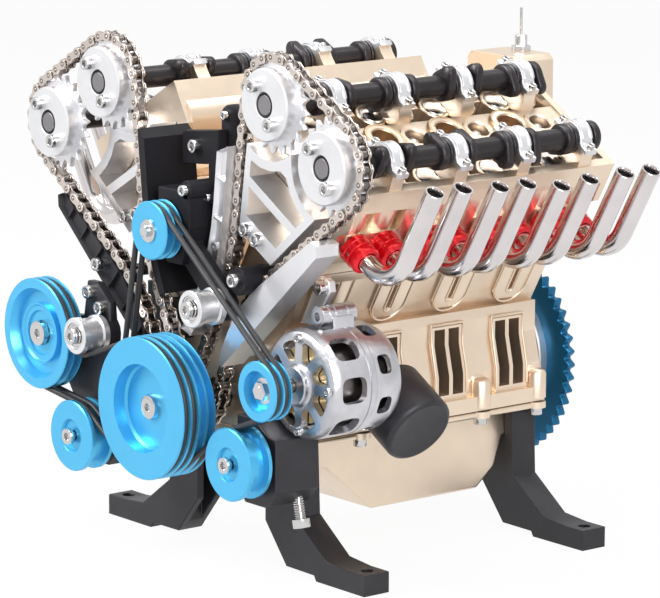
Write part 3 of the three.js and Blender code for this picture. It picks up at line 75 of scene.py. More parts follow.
paintBook = {  # slot, colour, metal, roughness, share of drift, grain of the relief, its depth in mm
    "gold": ("gold_casting", (0.82, 0.68, 0.54), 0.95, 0.34, 0.03, 1500, 0.01),
    "goldRough": ("gold_casting", (0.62, 0.46, 0.30), 0.95, 0.38, 0.08, 900, 0.02),
    "silver": ("silver", (0.74, 0.74, 0.76), 0.9, 0.36, 0.03, 2200, 0.004),
    "cast": ("cast_silver", (0.58, 0.58, 0.61), 0.95, 0.3, 0.16, 900, 0.14),
    "steel": ("polished", (0.62, 0.61, 0.61), 1.0, 0.2, 0.05, 2500, 0.003),
    "pipe": ("polished", (0.70, 0.66, 0.66), 1.0, 0.17, 0.05, 900, 0.004),
    "brass": ("polished", (0.55, 0.40, 0.20), 1.0, 0.25, 0.06, 2000, 0.003),
    "chain": ("chain_steel", (0.66, 0.59, 0.54), 1.0, 0.25, 0.08, 1800, 0.006),
    # dark steel for the alternator's core; on the chain's rollers and the rings round its pins it is
    # painted shade
    "chainDark": ("chain_steel", (0.20, 0.18, 0.17), 1.0, 0.3, 0.08, 1800, 0.006),
    # painted shade: a darker copy of the chain steel for the inner plates, which sit deeper in the chain
    "shadedInnerLink": ("chain_steel", (0.40, 0.35, 0.32), 1.0, 0.28, 0.08, 1800, 0.006),
    "blackSteel": ("black_steel", (0.035, 0.031, 0.034), 0.65, 0.33, 0.15, 1200, 0.008),
    "blackGround": ("black_steel", (0.09, 0.085, 0.09), 0.9, 0.25, 0.12, 2600, 0.006),
    "shaftGrey": ("black_steel", (0.24, 0.23, 0.24), 0.9, 0.4, 0.05, 2400, 0.004),
    "blackPaint": ("black_paint", (0.020, 0.019, 0.023), 0.1, 0.42, 0.15, 1400, 0.015),
    "blackMatte": ("black_paint", (0.010, 0.0095, 0.012), 0.0, 0.5, 0.15, 1400, 0.012),
    # painted shade: near black for the depths of the pipes' bores and the gap round each cam's shaft end
    "hollowShade": ("black_paint", (0.01, 0.01, 0.01), 0.0, 0.8, 0.1, 800, 0.01),
    "red": ("red_gloss", (0.66, 0.004, 0.012), 0.35, 0.2, 0.06, 1200, 0.004),
    "blue": ("sky_blue", (0.085, 0.45, 0.74), 0.7, 0.32, 0.02, 2400, 0.002),
    "deepBlue": ("sky_blue", (0.008, 0.13, 0.27), 0.6, 0.35, 0.08, 1500, 0.006),
    "rubber": ("rubber", (0.018, 0.018, 0.020), 0.0, 0.5, 0.15, 2200, 0.01),
}
specular = {"blackPaint": 0.4, "blackMatte": 0.15}
noiseScale = {"colour": 90, "roughness": 260}


def nodeOf(tree, kind, operation=None, **values):
    # a shader node with values for its inputs, whose names have _ here for a space
    node = tree.nodes.new("ShaderNode" + kind)
    if operation:
        node.operation = operation
    for key, value in values.items():
        node.inputs[key.replace("_", " ")].default_value = value
    return node


def makeFinish(name):
    # colour drifts with a slow noise, roughness with a middle one, relief with a fine one
    colour, metal, rough, drift, grain, relief = paintBook[name][1:]
    material = bpy.data.materials.new(name)
    material.use_nodes = True
    tree = material.node_tree
    shader = tree.nodes["Principled BSDF"]
    place = nodeOf(tree, "TexCoord")

    def noise(scale, detail):
        node = nodeOf(tree, "TexNoise", Scale=scale, Detail=detail)
        tree.links.new(place.outputs["Object"], node.inputs["Vector"])
        return node.outputs["Fac"]

    ramp = nodeOf(tree, "ValToRGB")
    for element, position, share in zip(ramp.color_ramp.elements, (0.3, 0.7), (1 - drift, 1 + drift)):
        element.position = position
        element.color = (*np.minimum(np.array(colour) * share, 1), 1)
    tree.links.new(noise(noiseScale["colour"], 3), ramp.inputs["Fac"])
    tree.links.new(ramp.outputs["Color"], shader.inputs["Base Color"])
    band = nodeOf(tree, "MapRange", To_Min=rough * 0.8, To_Max=rough * 1.2)
    tree.links.new(noise(noiseScale["roughness"], 2), band.inputs["Value"])
    tree.links.new(band.outputs["Result"], shader.inputs["Roughness"])
    bump = nodeOf(tree, "Bump", Distance=relief * 0.001, Strength=0.8)
    tree.links.new(noise(grain, 2), bump.inputs["Height"])
    tree.links.new(bump.outputs["Normal"], shader.inputs["Normal"])
    shader.inputs["Metallic"].default_value = metal
    shader.inputs["Specular IOR Level"].default_value = specular.get(name, 0.5)
    return material


paints = {name: makeFinish(name) for name in paintBook}
print("finishes made", len(paints))


# Surfaces: rings of points, one ring after another along a piece

def circleOf(steps):
    # the angles of a full turn and their unit circle
    t = np.linspace(0, 2 * np.pi, steps, endpoint=False)
    return t, np.stack([np.cos(t), np.sin(t)], -1)


def arcOf(radius, start, end, steps):
    t = np.linspace(start, end, steps)
    return radius * np.stack([np.cos(t), np.sin(t)], -1)


def ringAt(outline, y):
    # one outline in x and z, or many, as rings in space
    return np.stack([outline[..., 0], np.broadcast_to(y, outline.shape[:-1]), outline[..., 1]], -1)


def skin(rings, paint=0, loop=False):
    # Quads between neighbouring rings, each ring closed on itself, with flat ends or as a
    # loop. Rings of four dimensions are many such pieces.
    rings = np.asarray(rings, float)
    if rings.ndim == 3:
        rings = rings[None]
    many, m, n = rings.shape[:3]
    i = np.arange(m if loop else m - 1)[:, None]
    j = np.arange(n)[None, :]
    k = (j + 1) % n
    below = (i + 1) % m
    quads = np.stack([i * n + j, i * n + k, below * n + k, below * n + j], -1).reshape(-1, 4)
    step = (np.arange(many) * m * n)[:, None, None]
    faces = (quads[None] + step).reshape(-1, 4).tolist()
    if not loop:
        first = np.arange(n)[::-1][None] + step[:, 0]
        last = np.arange(n)[None] + (m - 1) * n + step[:, 0]
        faces += first.tolist() + last.tolist()
    return rings.reshape(-1, 3), faces, paint


def gathered(skins):
    points, faces, marks, count = [], [], [], 0
    for place, sheet, paint in skins:
        points.append(place)
        faces += [[corner + count for corner in face] for face in sheet]
        marks += [paint] * len(sheet)
        count += len(place)
    return np.concatenate(points), faces, marks


def turnOut(mesh):
    work = bmesh.new()
    work.from_mesh(mesh)
    bmesh.ops.recalc_face_normals(work, faces=work.faces)
    work.to_mesh(mesh)
    work.free()


def linked(name, data):
    thing = bpy.data.objects.new(name, data)
    bpy.context.scene.collection.objects.link(thing)
    return thing


sharpAngle, bevelAngle = 38, 35


def makePiece(name, skins, finishes, node, replaced=False, sharp=sharpAngle, bevel=None):
    # A piece rides the body of the node it belongs to, and may take that node's place.
    points, faces, marks = gathered(skins)
    mesh = bpy.data.meshes.new(name)
    mesh.from_pydata(((points + shift) * 0.001).tolist(), [], faces)
    return settle(name, mesh, finishes, marks, node, replaced, sharp, bevel)


def settle(name, mesh, finishes, marks, node, replaced, sharp, bevel):
    for finish in finishes:
        mesh.materials.append(paints[finish])
    mesh.polygons.foreach_set("material_index", marks)
    turnOut(mesh)
    mesh.polygons.foreach_set("use_smooth", [True] * len(mesh.polygons))
    mesh.set_sharp_from_angle(angle=math.radians(sharp))
    thing = linked(name, mesh)
    if bevel:
        rounding = thing.modifiers.new("edges", "BEVEL")
        rounding.width = bevel * 0.001
        rounding.segments = 2
        rounding.limit_method = "ANGLE"
        rounding.angle_limit = math.radians(bevelAngle)
        rounding.use_clamp_overlap = True
        rounding.harden_normals = True
    body = bodyOf[node]
    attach(thing, body)
    if replaced:
        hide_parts(node)
    return thing


def dressed(node, finishes, bevel=0.3, spots=(), cuts=(), pocket=None):
    # The CAD node's own shape, merged, with rounded edges. A spot paints the faces inside a
    # box; a cut takes away what is round a screw's axis, and closes the hole. A pocket, of
    # (rim, depth), is sunk into the biggest face in front.
    mesh = frame["nodes"][node].data.copy()
    mesh.materials.clear()
    work = bmesh.new()
    work.from_mesh(mesh)
    bmesh.ops.remove_doubles(work, verts=work.verts, dist=2e-6)
    place = np.array([v.co for v in work.verts]) * 1000 - shift
    doomed = np.zeros(len(place), bool)
    for x, z, radius, y0, y1 in cuts:
        near = np.hypot(place[:, 0] - x, place[:, 2] - z) < radius
        doomed |= near & (place[:, 1] > y0) & (place[:, 1] < y1)
    if doomed.any():
        verts = list(work.verts)
        bmesh.ops.delete(work, geom=[verts[i] for i in np.flatnonzero(doomed)], context="VERTS")
        bmesh.ops.holes_fill(work, edges=[e for e in work.edges if e.is_boundary])
    bmesh.ops.dissolve_limit(work, angle_limit=math.radians(0.5), verts=work.verts, edges=work.edges)
    if pocket:
        work.normal_update()
        front = max((f for f in work.faces if f.normal.y < -0.99), key=lambda f: f.calc_area())
        bmesh.ops.inset_region(work, faces=[front], thickness=pocket[0] * 0.001,
                               depth=-pocket[1] * 0.001, use_boundary=True, use_even_offset=True)
    work.to_mesh(mesh)
    work.free()
    centres = np.zeros(len(mesh.polygons) * 3)
    mesh.polygons.foreach_get("center", centres)
    centres = centres.reshape(-1, 3) * 1000 - shift
    marks = np.zeros(len(centres), int)
    for index, low, high in spots:
        marks[((centres > low) & (centres < high)).all(1)] = index
    return settle(node + "_dressed", mesh, finishes, marks, node, True, sharpAngle, bevel)


def frameOn(axis):
    # two directions square to an axis, and the axis
    axis = np.asarray(axis, float)
    axis = axis / np.linalg.norm(axis)
    first = np.cross([0, 0, 1] if abs(axis[2]) < 0.9 else [1, 0, 0], axis)
    first /= np.linalg.norm(first)
    return first, np.cross(axis, first), axis


def turned(profile, centre=(0, 0, 0), axis=(0, 1, 0), steps=48, paint=0, loop=False):
    # A profile of (radius, height, sides) carried round an axis. With s straight sides the
    # radius at angle t is r cos(pi/s) / cos(t mod 2pi/s - pi/s), otherwise it is r.
    rows = [row if len(row) == 3 else (*row, 0) for row in profile]
    radius, height, count = np.array(rows, float).T
    t = circleOf(steps)[0]
    swing = np.pi / np.where(count > 0, count, 1)[:, None]
    straight = np.cos(swing) / np.cos(np.mod(t[None], 2 * swing) - swing)
    reach = radius[:, None] * np.where(count[:, None] > 0, straight, 1)
    a, b, c = frameOn(axis)
    spokes = np.cos(t)[None, :, None] * a + np.sin(t)[None, :, None] * b
    rings = np.asarray(centre, float) + reach[..., None] * spokes + height[:, None, None] * c
    return skin(rings, paint, loop)


screwKinds = {  # head radius, head height, key hole's corner radius and depth, edge
    "cap": (2.25, 2.5, 1.25, 1.3, 0.3), "small": (1.9, 2.0, 1.05, 1.0, 0.25),
    "tiny": (1.45, 1.5, 0.85, 0.8, 0.2), "big": (2.9, 3.0, 1.6, 1.6, 0.35),
    "button": (4.3, 2.2, 1.5, 1.2, 1.2), "spindle": (2.8, 1.7, 1.45, 1.1, 0.3),
    "hex": (4.3, 2.6, 1.7, 1.2, 0.3),
}


def screw(at, axis, kind="cap", shank=0.0):
    # A socket screw's head on its shank: chamfered edge, six-sided key hole.
    radius, height, key, deep, edge = screwKinds[kind]
    sides = 6 if kind == "hex" else 0
    profile = [(radius * 0.5, -shank), (radius * 0.5, 0)] if shank else []
    profile += [(radius, 0, sides), (radius, height - edge, sides),
                (radius - edge * 0.3, height - edge * 0.3), (radius - edge, height),
                (key + 0.12, height), (key, height - 0.12, 6), (key, height - deep, 6),
                (key * 0.2, height - deep - key * 0.3, 6)]
    return turned(profile, at, axis, 24)


def shaft(radius, start, end, steps=24, edge=0.0):
    start, end = np.asarray(start, float), np.asarray(end, float)
    length = np.linalg.norm(end - start)
    profile = [(radius, edge), (radius, length - edge)]
    if edge:
        profile = [(radius - edge, 0), *profile, (radius - edge, length)]
    return turned(profile, start, end - start, steps)


def plate(inner, outer, y0, y1, edge):
    # from y0 to y1, with both faces' edges stepped in
    rows = ((inner, y0), (outer, y0 + edge), (outer, y1 - edge), (inner, y1))
    return skin([ringAt(outline, y) for outline, y in rows])


def slab(outline, y0, y1, edge=0.25):
    # a plate with an outline in x and z
    outline = np.asarray(outline, float)
    after = np.roll(outline, -1, 0)
    heading = after - np.roll(outline, 1, 0)
    heading /= np.linalg.norm(heading, axis=1)[:, None]
    area = np.sum(outline[:, 0] * after[:, 1] - after[:, 0] * outline[:, 1])
    inward = np.stack([-heading[:, 1], heading[:, 0]], -1) * np.sign(area)
    return plate(outline + inward * edge, outline, y0, y1, edge)


def bead(path, radius, steps=10, loop=False):
    # a round section carried along a path of places; each ring stands square to the path
    path = np.asarray(path, float)
    heading = np.roll(path, -1, 0) - np.roll(path, 1, 0) if loop else np.gradient(path, axis=0)
    heading /= np.linalg.norm(heading, axis=1)[:, None]
    first = np.cross(heading, [0.31, 0.52, 0.79])
    first /= np.linalg.norm(first, axis=1)[:, None]
    second = np.cross(heading, first)
    circle = circleOf(steps)[1]
    spokes = circle[None, :, :1] * first[:, None] + circle[None, :, 1:] * second[:, None]
    return skin(path[:, None] + radius * spokes, 0, loop)


def mirrored(skins, side):
    return [(place * [side, 1, 1], faces, paint) for place, faces, paint in skins]


def leaned(skins, side, inward=camInset):
    # from a bank's own upright frame to its lean: x is across, z is along the bores
    c, s = math.cos(tilt), math.sin(tilt)
    turn = np.array([[c, 0, s], [0, 1, 0], [-s, 0, c]]).T
    tilted = [((place - [inward, 0, 0]) @ turn, faces, paint) for place, faces, paint in skins]
    return mirrored(tilted, side)


def inBank(across, up):
    # a place across and along the right bank's bores, as x and z
    c, s = math.cos(tilt), math.sin(tilt)
    return across * c + up * s, up * c - across * s


# Routes of the chains and belts: arcs on the wheels, straight runs between them

def routeRound(wheels):
    # heading of run i = bearing of the next wheel - asin((next reach - this reach) / span)
    x, z, reach = np.array(wheels, float).T
    nextX, nextZ, nextReach = np.roll(x, -1), np.roll(z, -1), np.roll(reach, -1)
    span = np.hypot(nextX - x, nextZ - z)
    heading = np.arctan2(nextZ - z, nextX - x) - np.arcsin((nextReach - reach) / span)
    start = np.roll(heading, 1)
    sign = np.sign(reach)
    sweep = sign * np.mod(sign * (heading - start), 2 * np.pi)
    lines = []
    for i in range(len(wheels)):
        steps = max(3, int(abs(sweep[i] * reach[i]) / 0.25))
        t = np.linspace(start[i], start[i] + sweep[i], steps)
        lines.append(np.stack([x[i] + reach[i] * np.sin(t), z[i] - reach[i] * np.cos(t)], -1))
    line = np.concatenate(lines + [lines[0][:1]])
    length = np.concatenate([[0], np.cumsum(np.hypot(*np.diff(line, axis=0).T))])
    return line, length


def along(line, length, distance):
    distance = np.mod(distance, length[-1])
    return np.stack([np.interp(distance, length, line[:, k]) for k in (0, 1)], -1)


chainBook = {
    "camTeeth": 20, "crankTeeth": 10, "usualPitch": 4.76,
    "innerShoe": {"radius": 90, "at": 0.42, "height": 2.4},
    "outerShoe": {"radius": 60, "at": 0.364, "height": -3.2},
    "plateHeight": 3.5, "plateThickness": 0.6, "plateEdge": 0.12, "waist": 0.32,
    "outerHalf": 2.38, "innerHalf": 1.7,
    "wellRadius": 0.95, "pinRadius": 0.5, "rollerRadius": 1.4, "rollerHalf": 1.05, "clearAhead": 2.6,
}
exhaustAt = inBank(layout["camSpread"] - camInset, camHeight)
intakeAt = inBank(-layout["camSpread"] - camInset, camHeight)


def shoeWheel(cam, side, shoe):
    # beside the line from the crank to a cam, on the side away from the middle of the loop
    span = math.hypot(*cam)
    x, z = cam[0] / span, cam[1] / span
    forth, away = shoe["at"] * span, shoe["height"] + shoe["radius"]
    return x * forth + side * z * away, z * forth - side * x * away, -shoe["radius"]


def chainWheels(pitch):
    crank = pitch / (2 * math.sin(math.pi / chainBook["crankTeeth"]))
    cam = pitch / (2 * math.sin(math.pi / chainBook["camTeeth"]))
    return [(0, 0, crank), shoeWheel(exhaustAt, 1, chainBook["outerShoe"]), (*exhaustAt, cam),
            (*intakeAt, cam), shoeWheel(intakeAt, -1, chainBook["innerShoe"])]


def pinsOf(pitch, count):
    # each pin is one straight pitch from the last; the route is walked with a short correction
    line, length = routeRound(chainWheels(pitch))
    distance, pins = 0.0, []
    for _ in range(count):
        here = along(line, length, distance)
        pins.append(here)
        further = distance + pitch
        for _ in range(6):
            further += pitch - np.hypot(*(along(line, length, further) - here))
        distance = further
    return np.array(pins), distance - length[-1]


usual = chainBook["usualPitch"]
linkCount = 2 * round(routeRound(chainWheels(usual))[1][-1] / usual / 2)
low, high = 0.97 * usual, 1.03 * usual
for _ in range(22):
    chainPitch = (low + high) / 2
    pins, excess = pinsOf(chainPitch, linkCount)
    low, high = (chainPitch, high) if excess < 0 else (low, chainPitch)
wheels = chainWheels(chainPitch)
print("chain links", linkCount, "pitch", round(chainPitch, 4), "left over", round(float(excess), 5))


def linkPlates(first, y):
    # A waisted figure of eight round each pair of pins: its half height is h times
    # (1 - waist sin^2(pi s)) between the pins, and there are half circles round them.
    thickness, edge = chainBook["plateThickness"], chainBook["plateEdge"]
    a = pins[first::2]
    b = np.roll(pins, -1, 0)[first::2]
    heading = (b - a) / np.linalg.norm(b - a, axis=1)[:, None]
    square = np.stack([-heading[:, 1], heading[:, 0]], -1)
    half = chainBook["plateHeight"] / 2
    gap = np.linalg.norm(b - a, axis=1).mean()
    s = np.linspace(0, 1, 5)
    upper = np.stack([s * gap, half * (1 - chainBook["waist"] * np.sin(np.pi * s) ** 2)], -1)
    nose = arcOf(half, np.pi / 2, -np.pi / 2, 7)[1:-1] + [gap, 0]
    outline = np.concatenate([upper, nose, upper[::-1] * [1, -1], (nose * [-1, 1] + [gap, 0])[::-1]])
    flat = a[:, None] + outline[None, :, :1] * heading[:, None] + outline[None, :, 1:] * square[:, None]
    inward = (a + b)[:, None] / 2 - flat
    inward /= np.linalg.norm(inward, axis=2)[..., None]
    rows = ((edge, 0), (0, edge), (0, thickness - edge), (edge, thickness))
    # the inner plates (first is 1) take paint 2, the darker copy of the chain steel, as painted shade
    return skin(np.stack([ringAt(flat + inward * step, y + deep) for step, deep in rows], 1), 2 * first)


def isOn(wheel, further=0.01):
    # the pins that lie on a wheel's pitch circle, or up to a distance ahead of it
    x, z, reach = wheel
    away = np.hypot(pins[:, 0] - x, pins[:, 1] - z) - reach
    return (away > -0.01) & (away < further)


def barrels(places, radius, rows, paint=0):
    # short round pieces on the pins: rows of (share of the radius, y)
    circle = circleOf(12)[1][None]
    rings = [ringAt(places[:, None] + radius * share * circle, y) for share, y in rows]
    return skin(np.stack(rings, 1), paint)


def rollers(places, plane, paint=0):
    low, high = plane - chainBook["rollerHalf"], plane + chainBook["rollerHalf"]
    rows = [(0.9, low), (1, low + 0.15), (1, high - 0.15), (0.9, high)]
    return barrels(places, chainBook["rollerRadius"], rows, paint)


def makeChain(side, plane):
    # A roller that sits between a wheel's teeth turns with that wheel, so it is made with it.
    skins = []
    for first, half in ((0, chainBook["outerHalf"]), (1, chainBook["innerHalf"])):
        for y in (plane - half, plane + half - chainBook["plateThickness"]):
            skins.append(linkPlates(first, y))
    for s in (-1, 1):
        face = plane + s * chainBook["outerHalf"]
        low, well, cap = face - s * 0.3, face + s * 0.015, face + s * 0.14
        # painted shade: a dark ring round each pin's head, just proud of the outer plate
        skins.append(barrels(pins, chainBook["wellRadius"], [(1, low), (0.97, well)], 1))
        skins.append(barrels(pins, chainBook["pinRadius"], [(1, low), (0.7, cap)]))
    # the next roller ahead of a wheel is left out, because the passing teeth would cut it
    free = ~np.any([isOn(wheels[i], chainBook["clearAhead"]) for i in (0, 2, 3)], axis=0)
    # the rollers between the plates are painted dark, as painted shade
    skins.append(rollers(pins[free], plane, 1))
    name = "timing_chain_" + ("right" if side > 0 else "left")
    makePiece(name + "_links", mirrored(skins, side), ["chain", "chainDark", "shadedInnerLink"], name, True)


makeChain(1, rightPlane)
makeChain(-1, leftPlane)
print("chains made")


# Camshafts and their sprockets

sprocketBook = {
    "thickness": 1.9, "flange": 12.0, "flangeDepth": 5.0, "hub": 4.2, "hubRecess": 2.0,
    "screwSpread": 7.4, "screwTurn": 2.2, "edge": 0.35,
    "share": [0, 0.12, 0.25, 0.34, 0.41, 0.46, 0.54, 0.59, 0.66, 0.75, 0.88],
    "height": [-1.5, -1.4, -0.95, -0.3, 0.5, 1.05, 1.05, 0.5, -0.3, -0.95, -1.4],
}
camBook = {
    "shaft": 3.7, "base": 5.2, "reach": 7.95, "nose": 2.6, "thickness": 3.0, "end": 117.0, "steps": 56,
    "exhaust": [35, 125, 305, 215], "intake": [145, 235, 55, 325], "collarAt": 3.9, "collarWidth": 1.0,
}


def teethRound(teeth, share, height, phase=0.0):
    # directions all round a wheel, and the height there: one tooth's points, repeated
    t = phase + (np.arange(teeth)[:, None] + np.array(share)[None]).ravel() * 2 * np.pi / teeth
    return np.stack([np.cos(t), np.sin(t)], -1), np.tile(height, teeth)[:, None]


def toothed(wheel, teeth, middle):
    # a tooth's heights over the pitch circle go from a roller's seat to the tip and back
    x, z, reach = wheel
    onIt = pins[isOn(wheel)]
    phase = math.atan2(onIt[len(onIt) // 2][1] - z, onIt[len(onIt) // 2][0] - x)
    circle, height = teethRound(teeth, sprocketBook["share"], sprocketBook["height"], phase)
    half = sprocketBook["thickness"] / 2
    return plate(circle * (reach + height - 0.3) + [x, z], circle * (reach + height) + [x, z],
                 middle - half, middle + half, sprocketBook["edge"])


def lobeRadius(t, peak):
    # distance from the shaft's axis to the lobe's skin: base circle, or the nose's tangent
    base, tip = camBook["base"], camBook["nose"]
    away = np.abs(np.angle(np.exp(1j * (t - peak))))
    centre = camBook["reach"] - tip
    tangent = math.acos((base - tip) / centre)
    flank = base / np.cos(np.clip(tangent - away, -1.4, 1.4))
    inside = np.clip(tip ** 2 - (centre * np.sin(away)) ** 2, 0, None)
    facing = (centre * np.sin(away) < tip) & (away < 1.5)
    nose = np.where(facing, centre * np.cos(away) + np.sqrt(inside), 0)
    straight = np.where(away < tangent, np.minimum(flank, camBook["reach"]), base)
    onNose = math.atan2(tip * math.sin(tangent), centre + tip * math.cos(tangent))
    return np.where(away < onNose, nose, straight)


def camRows(kind):
    # (y, radius) along a camshaft: two lobes at each cylinder, and a collar beside each cap
    t = circleOf(camBook["steps"])[0]
    plain = np.full(len(t), camBook["shaft"])
    width = camBook["collarWidth"]
    rows = []
    for y, degrees in zip(cylinders, camBook[kind]):
        lobe = lobeRadius(t, math.radians(degrees))
        for centre in (y - spread, y + spread):
            low, high = centre - camBook["thickness"] / 2, centre + camBook["thickness"] / 2
            rows += [(low - 0.01, plain), (low, lobe - 0.3), (low + 0.3, lobe),
                     (high - 0.3, lobe), (high, lobe - 0.3), (high + 0.01, plain)]
            if centre > y:
                continue
            for low in (y - camBook["collarAt"], y + camBook["collarAt"] - width):
                high = low + width
                rows += [(low, plain), (low + 0.01, plain + 1.1), (low + 0.2, plain + 1.3),
                         (high - 0.2, plain + 1.3), (high - 0.01, plain + 1.1), (high, plain)]
    return rows + [(camBook["end"] - 0.4, plain), (camBook["end"], plain - 0.4)]


def makeCam(side, kind, front):
    wheel = wheels[2 if kind == "exhaust" else 3]
    x, z = wheel[:2]
    middle = front + rightPlane
    node = f"{kind}_cam_{'right' if side > 0 else 'left'}"
    circle = circleOf(camBook["steps"])[1]
    start = (middle - 0.5, np.full(camBook["steps"], camBook["shaft"]))
    shell = skin([ringAt(r[:, None] * circle + [x, z], y) for y, r in [start] + camRows(kind)])
    makePiece(node + "_shaft", mirrored([shell], side), ["blackSteel"], node, True, sharp=50)
    hub, recess = sprocketBook["hub"], sprocketBook["hubRecess"]
    flange, deep = sprocketBook["flange"], sprocketBook["flangeDepth"]
    place = (x, front, z)
    disc = turned([(hub, recess), (hub, 0.3), (hub + 0.3, 0), (flange - 0.5, 0), (flange, 0.5),
                   (flange, deep), (hub, deep)], place, steps=72, loop=True)
    makePiece(node + "_sprocket", mirrored([toothed(wheel, chainBook["camTeeth"], middle), disc], side),
              ["silver"], node)
    # the rollers seated in the sprocket's teeth are painted dark, as painted shade between the plates
    seated = rollers(pins[isOn(wheel)], middle)
    makePiece(node + "_rollers", mirrored([seated], side), ["chainDark"], node)
    core = turned([(3.3, recess + 2), (3.3, 0.35), (3.1, 0.15)], place, steps=32)
    # painted shade: a near black ring sunk between the shaft's end and the flange's bore
    gap = turned([(3.3, 1.9), (3.3, 0.9), (4.25, 0.9), (4.25, 1.9)], place, steps=32, paint=1, loop=True)
    makePiece(node + "_hub", mirrored([core, gap], side), ["shaftGrey", "hollowShade"], node)
    turn = sprocketBook["screwTurn"] if side > 0 else math.pi - sprocketBook["screwTurn"]
    heads = [screw((x + far * math.cos(turn), front, z + far * math.sin(turn)), ahead)
             for far in (-sprocketBook["screwSpread"], sprocketBook["screwSpread"])]
    makePiece(node + "_screws", mirrored(heads, side), ["steel"], node)


for kind in ("exhaust", "intake"):
    makeCam(1, kind, 0)
    makeCam(-1, kind, -layout["chainOffset"])
print("cams made")


# Pulleys, spools and drums

pulleyBook = {
    "rear": -8.05, "front": -21.6, "grooves": [-19.7, -16.45, -13.2, -9.95], "half": 1.3, "deep": 2.6,
    "land": 1.9, "bore": 1.9, "waist": 2.925,
    "crank": {"at": (0, 0), "radius": 23.9, "recess": 14.5, "recessDepth": 5.0, "bore": 3.6},
    "side": {"at": (-60, 15.7), "radius": 19.0, "hub": 9.8, "hubDepth": 3.4},
    "pump": {"at": (-3.5, 58.4), "radius": 9.8},
    "alternator": {"at": (54.3, 14.1), "radius": 9.9, "recess": 6.4},
    "spools": {"left": (-38, -15.9), "right": (40.4, -12.3)},
    "spoolRadius": 12.1, "spoolCore": 9.6, "spoolWidth": 9.4,
    "drums": {"left": (-34.5, 19.1), "right": (21.3, 36.1)},
    "drumRadius": 6.2, "drumCore": 5.5, "drumWidth": 10.8,
}
pulleyFront, pulleyBore = pulleyBook["front"], pulleyBook["bore"]
pairs = {"left": pulleyBook["grooves"][:2], "right": pulleyBook["grooves"][2:]}


def bothWays(rows):
    # rows of (radius, height) above the middle, mirrored below it
    return [(radius, -height) for radius, height in rows] + rows[::-1]


def groovedRim(radius, y0, y1, grooves, edge=0.35):
    # rim from y0 to y1 with a rounded groove for each belt
    half, deep = pulleyBook["half"], pulleyBook["deep"]
    groove = bothWays([(radius, half), (radius - 0.25, half - 0.12), (radius - deep + 0.5, half * 0.72),
                       (radius - deep, half * 0.4)])
    rows = [(reach, y + height) for y in grooves for reach, height in groove]
    return [(radius - edge, y0), (radius, y0 + edge), *rows, (radius, y1 - edge), (radius - edge, y1)]


def makeRound(name, profile, at, node, finish="blue", steps=48, rim=False, y=0):
    # one turned shape; a rim is hollow and takes the node's place
    shape = turned(profile, (at[0], y, at[1]), steps=steps, loop=rim)
    makePiece(name, [shape], [finish], node, rim)


def makePulleys():
    book = pulleyBook["crank"]
    rear, face = pulleyBook["rear"], pulleyFront + book["recessDepth"]
    makeRound("crank_pulley_rim", groovedRim(book["radius"], pulleyFront, rear, pulleyBook["grooves"])
              + [(book["bore"], rear), (book["bore"], face), (book["recess"] - 0.8, face),
                 (book["recess"], face - 0.8), (book["recess"] + 0.35, pulleyFront)],
              book["at"], "crank_pulley", steps=128, rim=True)
    washer = turned([(3.9, 0.2), (3.9, -0.5), (3.6, -0.7), (3.0, -0.7)], (0, face, 0))
    makePiece("crank_pulley_screw", [screw((0, face, 0), ahead, "button"), washer], ["steel"],
              "crank_pulley")

    book = pulleyBook["side"]
    rear, face, hub = pairs["left"][1] + pulleyBook["land"], pulleyFront + book["hubDepth"], book["hub"]
    makeRound("side_pulley_rim", groovedRim(book["radius"], pulleyFront, rear, pairs["left"])
              + [(pulleyBore, rear), (pulleyBore, face), (4.0, face), (4.3, face - 0.4),
                 (hub - 2.4, face - 0.4), (hub - 2.0, face - 1.2), (hub - 0.6, face - 1.2),
                 (hub, face - 1.8), (hub + 0.5, face - 1.8), (hub + 0.5, face),
                 (book["radius"] - 5, face), (book["radius"] - 3.4, pulleyFront)],
              book["at"], "side_pulley", steps=112, rim=True)

    book = pulleyBook["pump"]
    y0, y1 = pairs["right"][0] - pulleyBook["land"], pairs["right"][1] + pulleyBook["land"]
    makeRound("pump_pulley_rim", groovedRim(book["radius"], y0, y1, pairs["right"])
              + [(pulleyBore, y1), (pulleyBore, y0 + 0.9), (3.2, y0 + 0.9), (3.5, y0)],
              book["at"], "pump_pulley", steps=80, rim=True)
    makeRound("pump_pulley_nose", [(3.9, y0 + 0.8), (3.9, y0 - 0.5), (3.6, y0 - 0.8), (2.0, y0 - 0.8),
                                   (1.9, y0 - 2.1), (1.6, y0 - 2.4), (0.3, y0 - 2.4)],
              book["at"], "pump_pulley", "steel")

    book = pulleyBook["alternator"]
    face = y1 - 3.8
    recess = book["recess"]
    makeRound("alternator_pulley_rim", groovedRim(book["radius"], y0, y1, pairs["right"])
              + [(pulleyBore, y1), (pulleyBore, face), (recess, face), (recess + 0.4, y0)],
              book["at"], "alternator_rotor", steps=80, rim=True)
    makeRound("alternator_nut", [(4.3, face + 0.2), (4.3, face - 0.5), (3.6, face - 0.5),
                                 (3.3, face - 0.6, 6), (3.3, y0 + 0.9, 6), (2.7, y0 + 0.4, 6),
                                 (1.7, y0 + 0.4), (1.7, y0 + 0.35), (1.2, y0 + 0.3)],
              book["at"], "alternator_rotor", "steel")
    makeRound("alternator_core", [(2, y1), (2, 6.2), (12.9, 6.2), (13.3, 6.6), (13.3, 28.1),
                                  (12.9, 28.5), (1, 28.5)],
              book["at"], "alternator_rotor", "chainDark", 64)


def makeSpool(name, middle):
    r, core, half = pulleyBook["spoolRadius"], pulleyBook["spoolCore"], pulleyBook["spoolWidth"] / 2
    waist = pulleyBook["waist"]
    outer = [(r - 0.4, half), (r, half - 0.4), (r, waist + 0.1), (r - 0.3, waist), (core, waist - 0.3)]
    inner = [(pulleyBore, half), (pulleyBore, 1.2 - half), (5.2, 1.2 - half), (5.5, 0.3 - half),
             (5.8, -half)]
    makeRound(f"spool_{name}_rim", bothWays(outer) + inner, pulleyBook["spools"][name], f"spool_{name}",
              steps=96, rim=True, y=middle)


